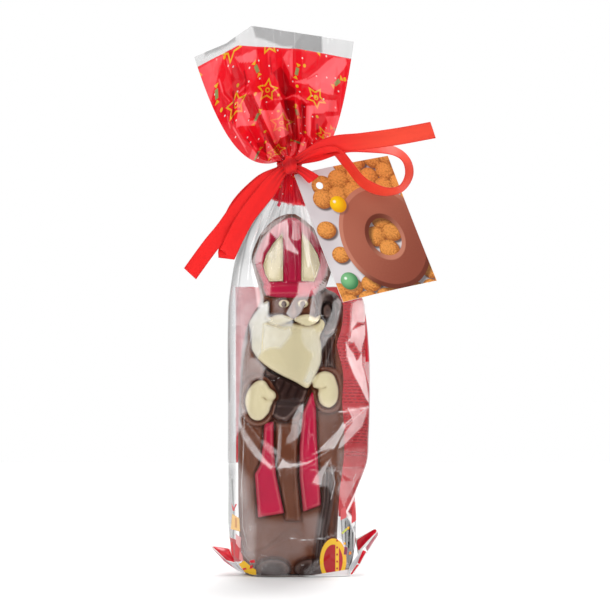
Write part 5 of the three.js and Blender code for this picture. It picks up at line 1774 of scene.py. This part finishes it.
# Sweets of the card's print: a middle and a radius in mm, a light tint and a dark one.
SWEETS = [
    (20.5, 24, 5.4, (0.93, 0.60, 0.01), (0.72, 0.28, 0.005)),
    (9, 72, 5.6, (0.20, 0.48, 0.22), (0.03, 0.16, 0.06)),
]


def biscuit_places():
    """Scattered biscuits, clear of the ring's band and the sweets: their middles, sizes and flatness."""
    draw = np.random.default_rng(12)
    places = []
    for row, column in np.ndindex(10, 7):
        cx = column * 11.0 + (row % 2) * 5.0 + draw.uniform(-1.4, 1.4)
        cy = row * 9.6 + draw.uniform(-1.2, 1.2)
        ring_side = math.hypot((cx - RING[0]) / RING_SIZE[0], (cy - RING[1]) / RING_SIZE[1])
        if 0.35 < ring_side < 0.92 or (cx < 16 and 22 < cy < 72) or cx + cy < 22:
            continue
        places.append((cx, cy, draw.uniform(6.2, 7.4), draw.uniform(0.8, 0.98)))
    return places + [(7, 38, 6.2, 0.9), (10, 55, 5.6, 0.94)]


def ring_print(paint, u, v, speck, color):
    """A flat chocolate ring with bevelled edges and the shadow it casts, over the given colour."""
    x, y = RING
    ring = oval(u, v, x, y, *RING_SIZE)
    band = (ring - RING_MIDDLE).abs()
    cast = (oval(u, v, x + 1.2, y + 2.2, *RING_SIZE) - RING_MIDDLE).abs()
    color = paint.mix(cast.step(0.38, 0.28) * 0.75, color, RING_SHADOW)
    tilt = (u - x) * 0.012 + (v - y) * 0.014
    slope = (ring - RING_MIDDLE) * tilt * 5.0
    marbled = (speck * 0.2 + tilt * 0.8 + 0.35).step(0.1, 0.9)
    flat = paint.mix(marbled, *RING_FLAT)
    bevel = paint.mix((slope + 0.5).step(0.2, 0.8), *RING_BEVEL)
    return paint.mix(band.step(0.325, 0.315), color, paint.mix(band.step(0.22, 0.245), flat, bevel))


def card_print():
    """Round spiced biscuits, a chocolate ring and two coloured sweets on a pale ground."""
    paint = Paint("printed_card")
    u, v, _ = paint.plane("UV")
    at = paint.point(u, v)
    pale = paint.noise(30.0, 1.0, at=at).step(0.3, 0.8)
    speck = paint.noise(1.3, 3.0, 0.7, at=at)
    color = paint.mix(pale, *CARD_GROUND)
    for cx, cy, size, squash in biscuit_places():
        d = oval(u, v, cx, cy, size, size * squash)
        shadow = oval(u, v, cx + 0.7, cy + 1.2, size * 1.12, size * squash * 1.14)
        color = paint.mix(shadow.step(1.04, 0.80) * 0.85, color, BISCUIT_SHADOW)
        dim = d.power(4.0) * 0.6 + (u - cx) * 0.025 + (v - cy) * 0.05 + (speck - 0.5) * 2.2 + 0.3
        biscuit = paint.mix(dim.step(0.0, 1.1), *BISCUIT)
        color = paint.mix(d.step(1.02, 0.98), color, biscuit)
    color = ring_print(paint, u, v, speck, color)
    for cx, cy, size, light, dark in SWEETS:
        shadow = oval(u, v, cx + 0.8, cy + 1.2, size * 1.1)
        color = paint.mix(shadow.step(1.08, 0.85) * 0.5, color, SWEET_SHADOW)
        ball = paint.mix(oval(u, v, cx - 1.4, cy - 1.6, size * 1.5).step(0.15, 0.95), light, dark)
        shine = oval(u, v, cx - 1.8, cy - 2.2, 1.1).step(1.2, 0.4) * 0.8
        ball = paint.mix(shine, ball, SWEET_SHINE)
        color = paint.mix(oval(u, v, cx, cy, size).step(1.02, 0.97), color, ball)
    return paint.done(paint.principled(color, 0.34, paint.bump(speck, 0.02, 0.3), Specular_IOR_Level=0.15))


def card_stock():
    paint = Paint("white_card_stock")
    fibre = paint.noise(0.8, 4.0, 0.6)
    color = paint.mix(fibre.step(0.3, 0.7), *CARD_WHITE)
    return paint.done(paint.principled(color, 0.55, paint.bump(fibre, 0.03, 0.4)))


def card_sheet(width, height):
    """A flat grid with the hole cut out of it: points from the card's corner, and faces."""
    hole = np.array([CARD_HOLE[0] * width, CARD_HOLE[1] * height])
    columns, rows = CARD_CELLS[0] + 1, CARD_CELLS[1] + 1
    u, v = np.meshgrid(np.linspace(0, width, columns), np.linspace(0, height, rows))
    flat = joined(u, v)
    faces = grid_faces(rows, columns)
    far = np.linalg.norm(flat - hole, axis=1)
    kept = faces[(far[faces] > CARD_HOLE_RADIUS).all(axis=1)]
    around = {}
    for a, b in np.concatenate([kept[:, [k, (k + 1) % 4]] for k in range(4)]):
        key = (min(a, b), max(a, b))
        around[key] = around.get(key, 0) + 1
    for k in {k for key, count in around.items() if count == 1 for k in key if far[k] < 3 * CARD_HOLE_RADIUS}:
        flat[k] = hole + (flat[k] - hole) / far[k] * CARD_HOLE_RADIUS
    used = np.unique(kept)
    return flat[used], np.searchsorted(used, kept)


def build_card():
    """The card as a fine grid with its hole cut out, bent a little across its width."""
    width, height = np.linalg.norm(CARD_ACROSS), np.linalg.norm(CARD_DOWN)
    across = CARD_ACROSS / width
    normal = np.cross(CARD_DOWN, CARD_ACROSS)
    normal /= np.linalg.norm(normal)
    down = np.cross(across, normal)
    down = down if down @ CARD_DOWN > 0 else -down
    flat, side = card_sheet(width, height)
    bend = 1.3 * (2 * flat[:, 0] / width - 1) ** 2 + 0.5 * np.sin(flat[:, 1] / height * math.pi)
    sheet = CARD_CORNER + flat[:, :1] * across + flat[:, 1:] * down + (0.9 - bend)[:, None] * normal
    edges = dict.fromkeys((int(a), int(b)) for face in side for a, b in zip(face, np.roll(face, -1)))
    rim = [(a, b) for a, b in edges if (b, a) not in edges]
    points, faces = thickened(sheet, side, rim, normal, CARD_THICK)
    kinds = [0] * len(side) + [1] * (len(faces) - len(side))
    materials = [card_print(), card_stock()]
    uv = np.concatenate([flat, flat])
    piece = mesh_piece("picture_card", points, faces, materials, uv=uv, face_material=kinds)
    piece.data.polygons.foreach_set("use_smooth", np.zeros(len(kinds), bool))
    return piece


# Stage, light and camera, in metres

FLOOR_SIZE = 1.3
WORLD_FILL = 0.34
MIRRORED_FRONT = 0.10
MIRRORED_BACK = 0.75
LIGHT_TARGET = (0, 0, 0.17)

# Softboxes: a name, a place, a size and a power.
SOFTBOXES = [
    ("left_softbox", (-0.95, -1.25, 0.55), (0.85, 1.2), 5.2),
    ("right_softbox", (1.05, -1.15, 0.45), (0.75, 1.2), 4.4),
    ("left_strip", (-0.40, -1.55, 0.50), (0.05, 0.9), 1.1),
    ("right_strip", (0.55, -1.50, 0.30), (0.05, 0.9), 1.1),
    ("top_softbox", (0.0, -0.30, 1.45), (1.4, 1.0), 10),
]
SUN_ENERGY = 2.9
SUN_ANGLE = math.radians(38)
SUN_TURN = (math.radians(-30), math.radians(8), 0)

PICTURE = 610
MM_PER_PIXEL = 0.6
CAMERA_TARGET = Vector((4.8 * MM, 0, 162 * MM))
CAMERA_DISTANCE = 1.9
CAMERA_ELEVATION = math.radians(3.0)
SENSOR = 36


def stage_material():
    paint = Paint("studio_white")
    color = paint.mix(paint.noise(300.0, 2.0), (0.81, 0.81, 0.81), (0.825, 0.825, 0.825))
    return paint.done(paint.principled(color, 0.9, Specular_IOR_Level=0.0))


def build_stage():
    bpy.ops.mesh.primitive_plane_add(size=FLOOR_SIZE)
    floor = bpy.context.object
    floor.name = "studio_floor"
    floor.data.materials.append(stage_material())


def aim(thing, target):
    thing.rotation_euler = (Vector(target) - thing.location).to_track_quat("-Z", "Y").to_euler()


def build_world():
    """White where the camera looks past the object, a soft fill, and for mirrors a studio dark in front."""
    paint = Paint("studio", bpy.data.worlds, "ShaderNodeOutputWorld")
    behind = paint.number("ShaderNodeMapRange", {
        "Value": paint.plane("Generated")[1], "From Min": -0.1, "From Max": 0.6,
        "To Min": MIRRORED_FRONT, "To Max": MIRRORED_BACK,
    })
    strengths = (1.0, WORLD_FILL, behind)
    seen, fill, mirrored = (paint.shader("ShaderNodeBackground", {"Color": (1, 1, 1), "Strength": strength})
                            for strength in strengths)
    ray = paint.node("ShaderNodeLightPath").outputs
    lit = paint.blend(ray["Is Glossy Ray"], fill, mirrored)
    bpy.context.scene.world = paint.done(paint.blend(ray["Is Camera Ray"], lit, seen))


def build_light():
    for name, place, size, power in SOFTBOXES:
        light = bpy.data.lights.new(name, "AREA")
        light.shape = "RECTANGLE"
        light.size, light.size_y = size
        light.energy = power
        lamp = placed(name, light)
        lamp.location = place
        lamp.visible_camera = False
        aim(lamp, LIGHT_TARGET)
    sun = bpy.data.lights.new("soft_sun", "SUN")
    sun.energy = SUN_ENERGY
    sun.angle = SUN_ANGLE
    placed("soft_sun", sun).rotation_euler = SUN_TURN
    build_world()


def build_camera():
    data = bpy.data.cameras.new("camera")
    camera = placed("camera", data)
    back = Vector((0, -math.cos(CAMERA_ELEVATION), math.sin(CAMERA_ELEVATION)))
    camera.location = CAMERA_TARGET + CAMERA_DISTANCE * back
    data.sensor_width = SENSOR
    data.lens = SENSOR * CAMERA_DISTANCE / (PICTURE * MM_PER_PIXEL * MM)
    data.clip_end = 100
    aim(camera, CAMERA_TARGET)
    bpy.context.scene.camera = camera


def main():
    bpy.context.scene.view_settings.view_transform = "Standard"
    build_camera()
    figure = build_figure()
    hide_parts("bag")
    build_ruff()
    film = build_bag_film()
    flaps = [build_flap(name, table) for name, table in FLAPS.items()]
    for piece in (film, *flaps):
        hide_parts("bag")
    bow = build_ribbon()
    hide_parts("ribbon")
    card = build_card()
    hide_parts("card")
    build_stage()
    build_light()


main()
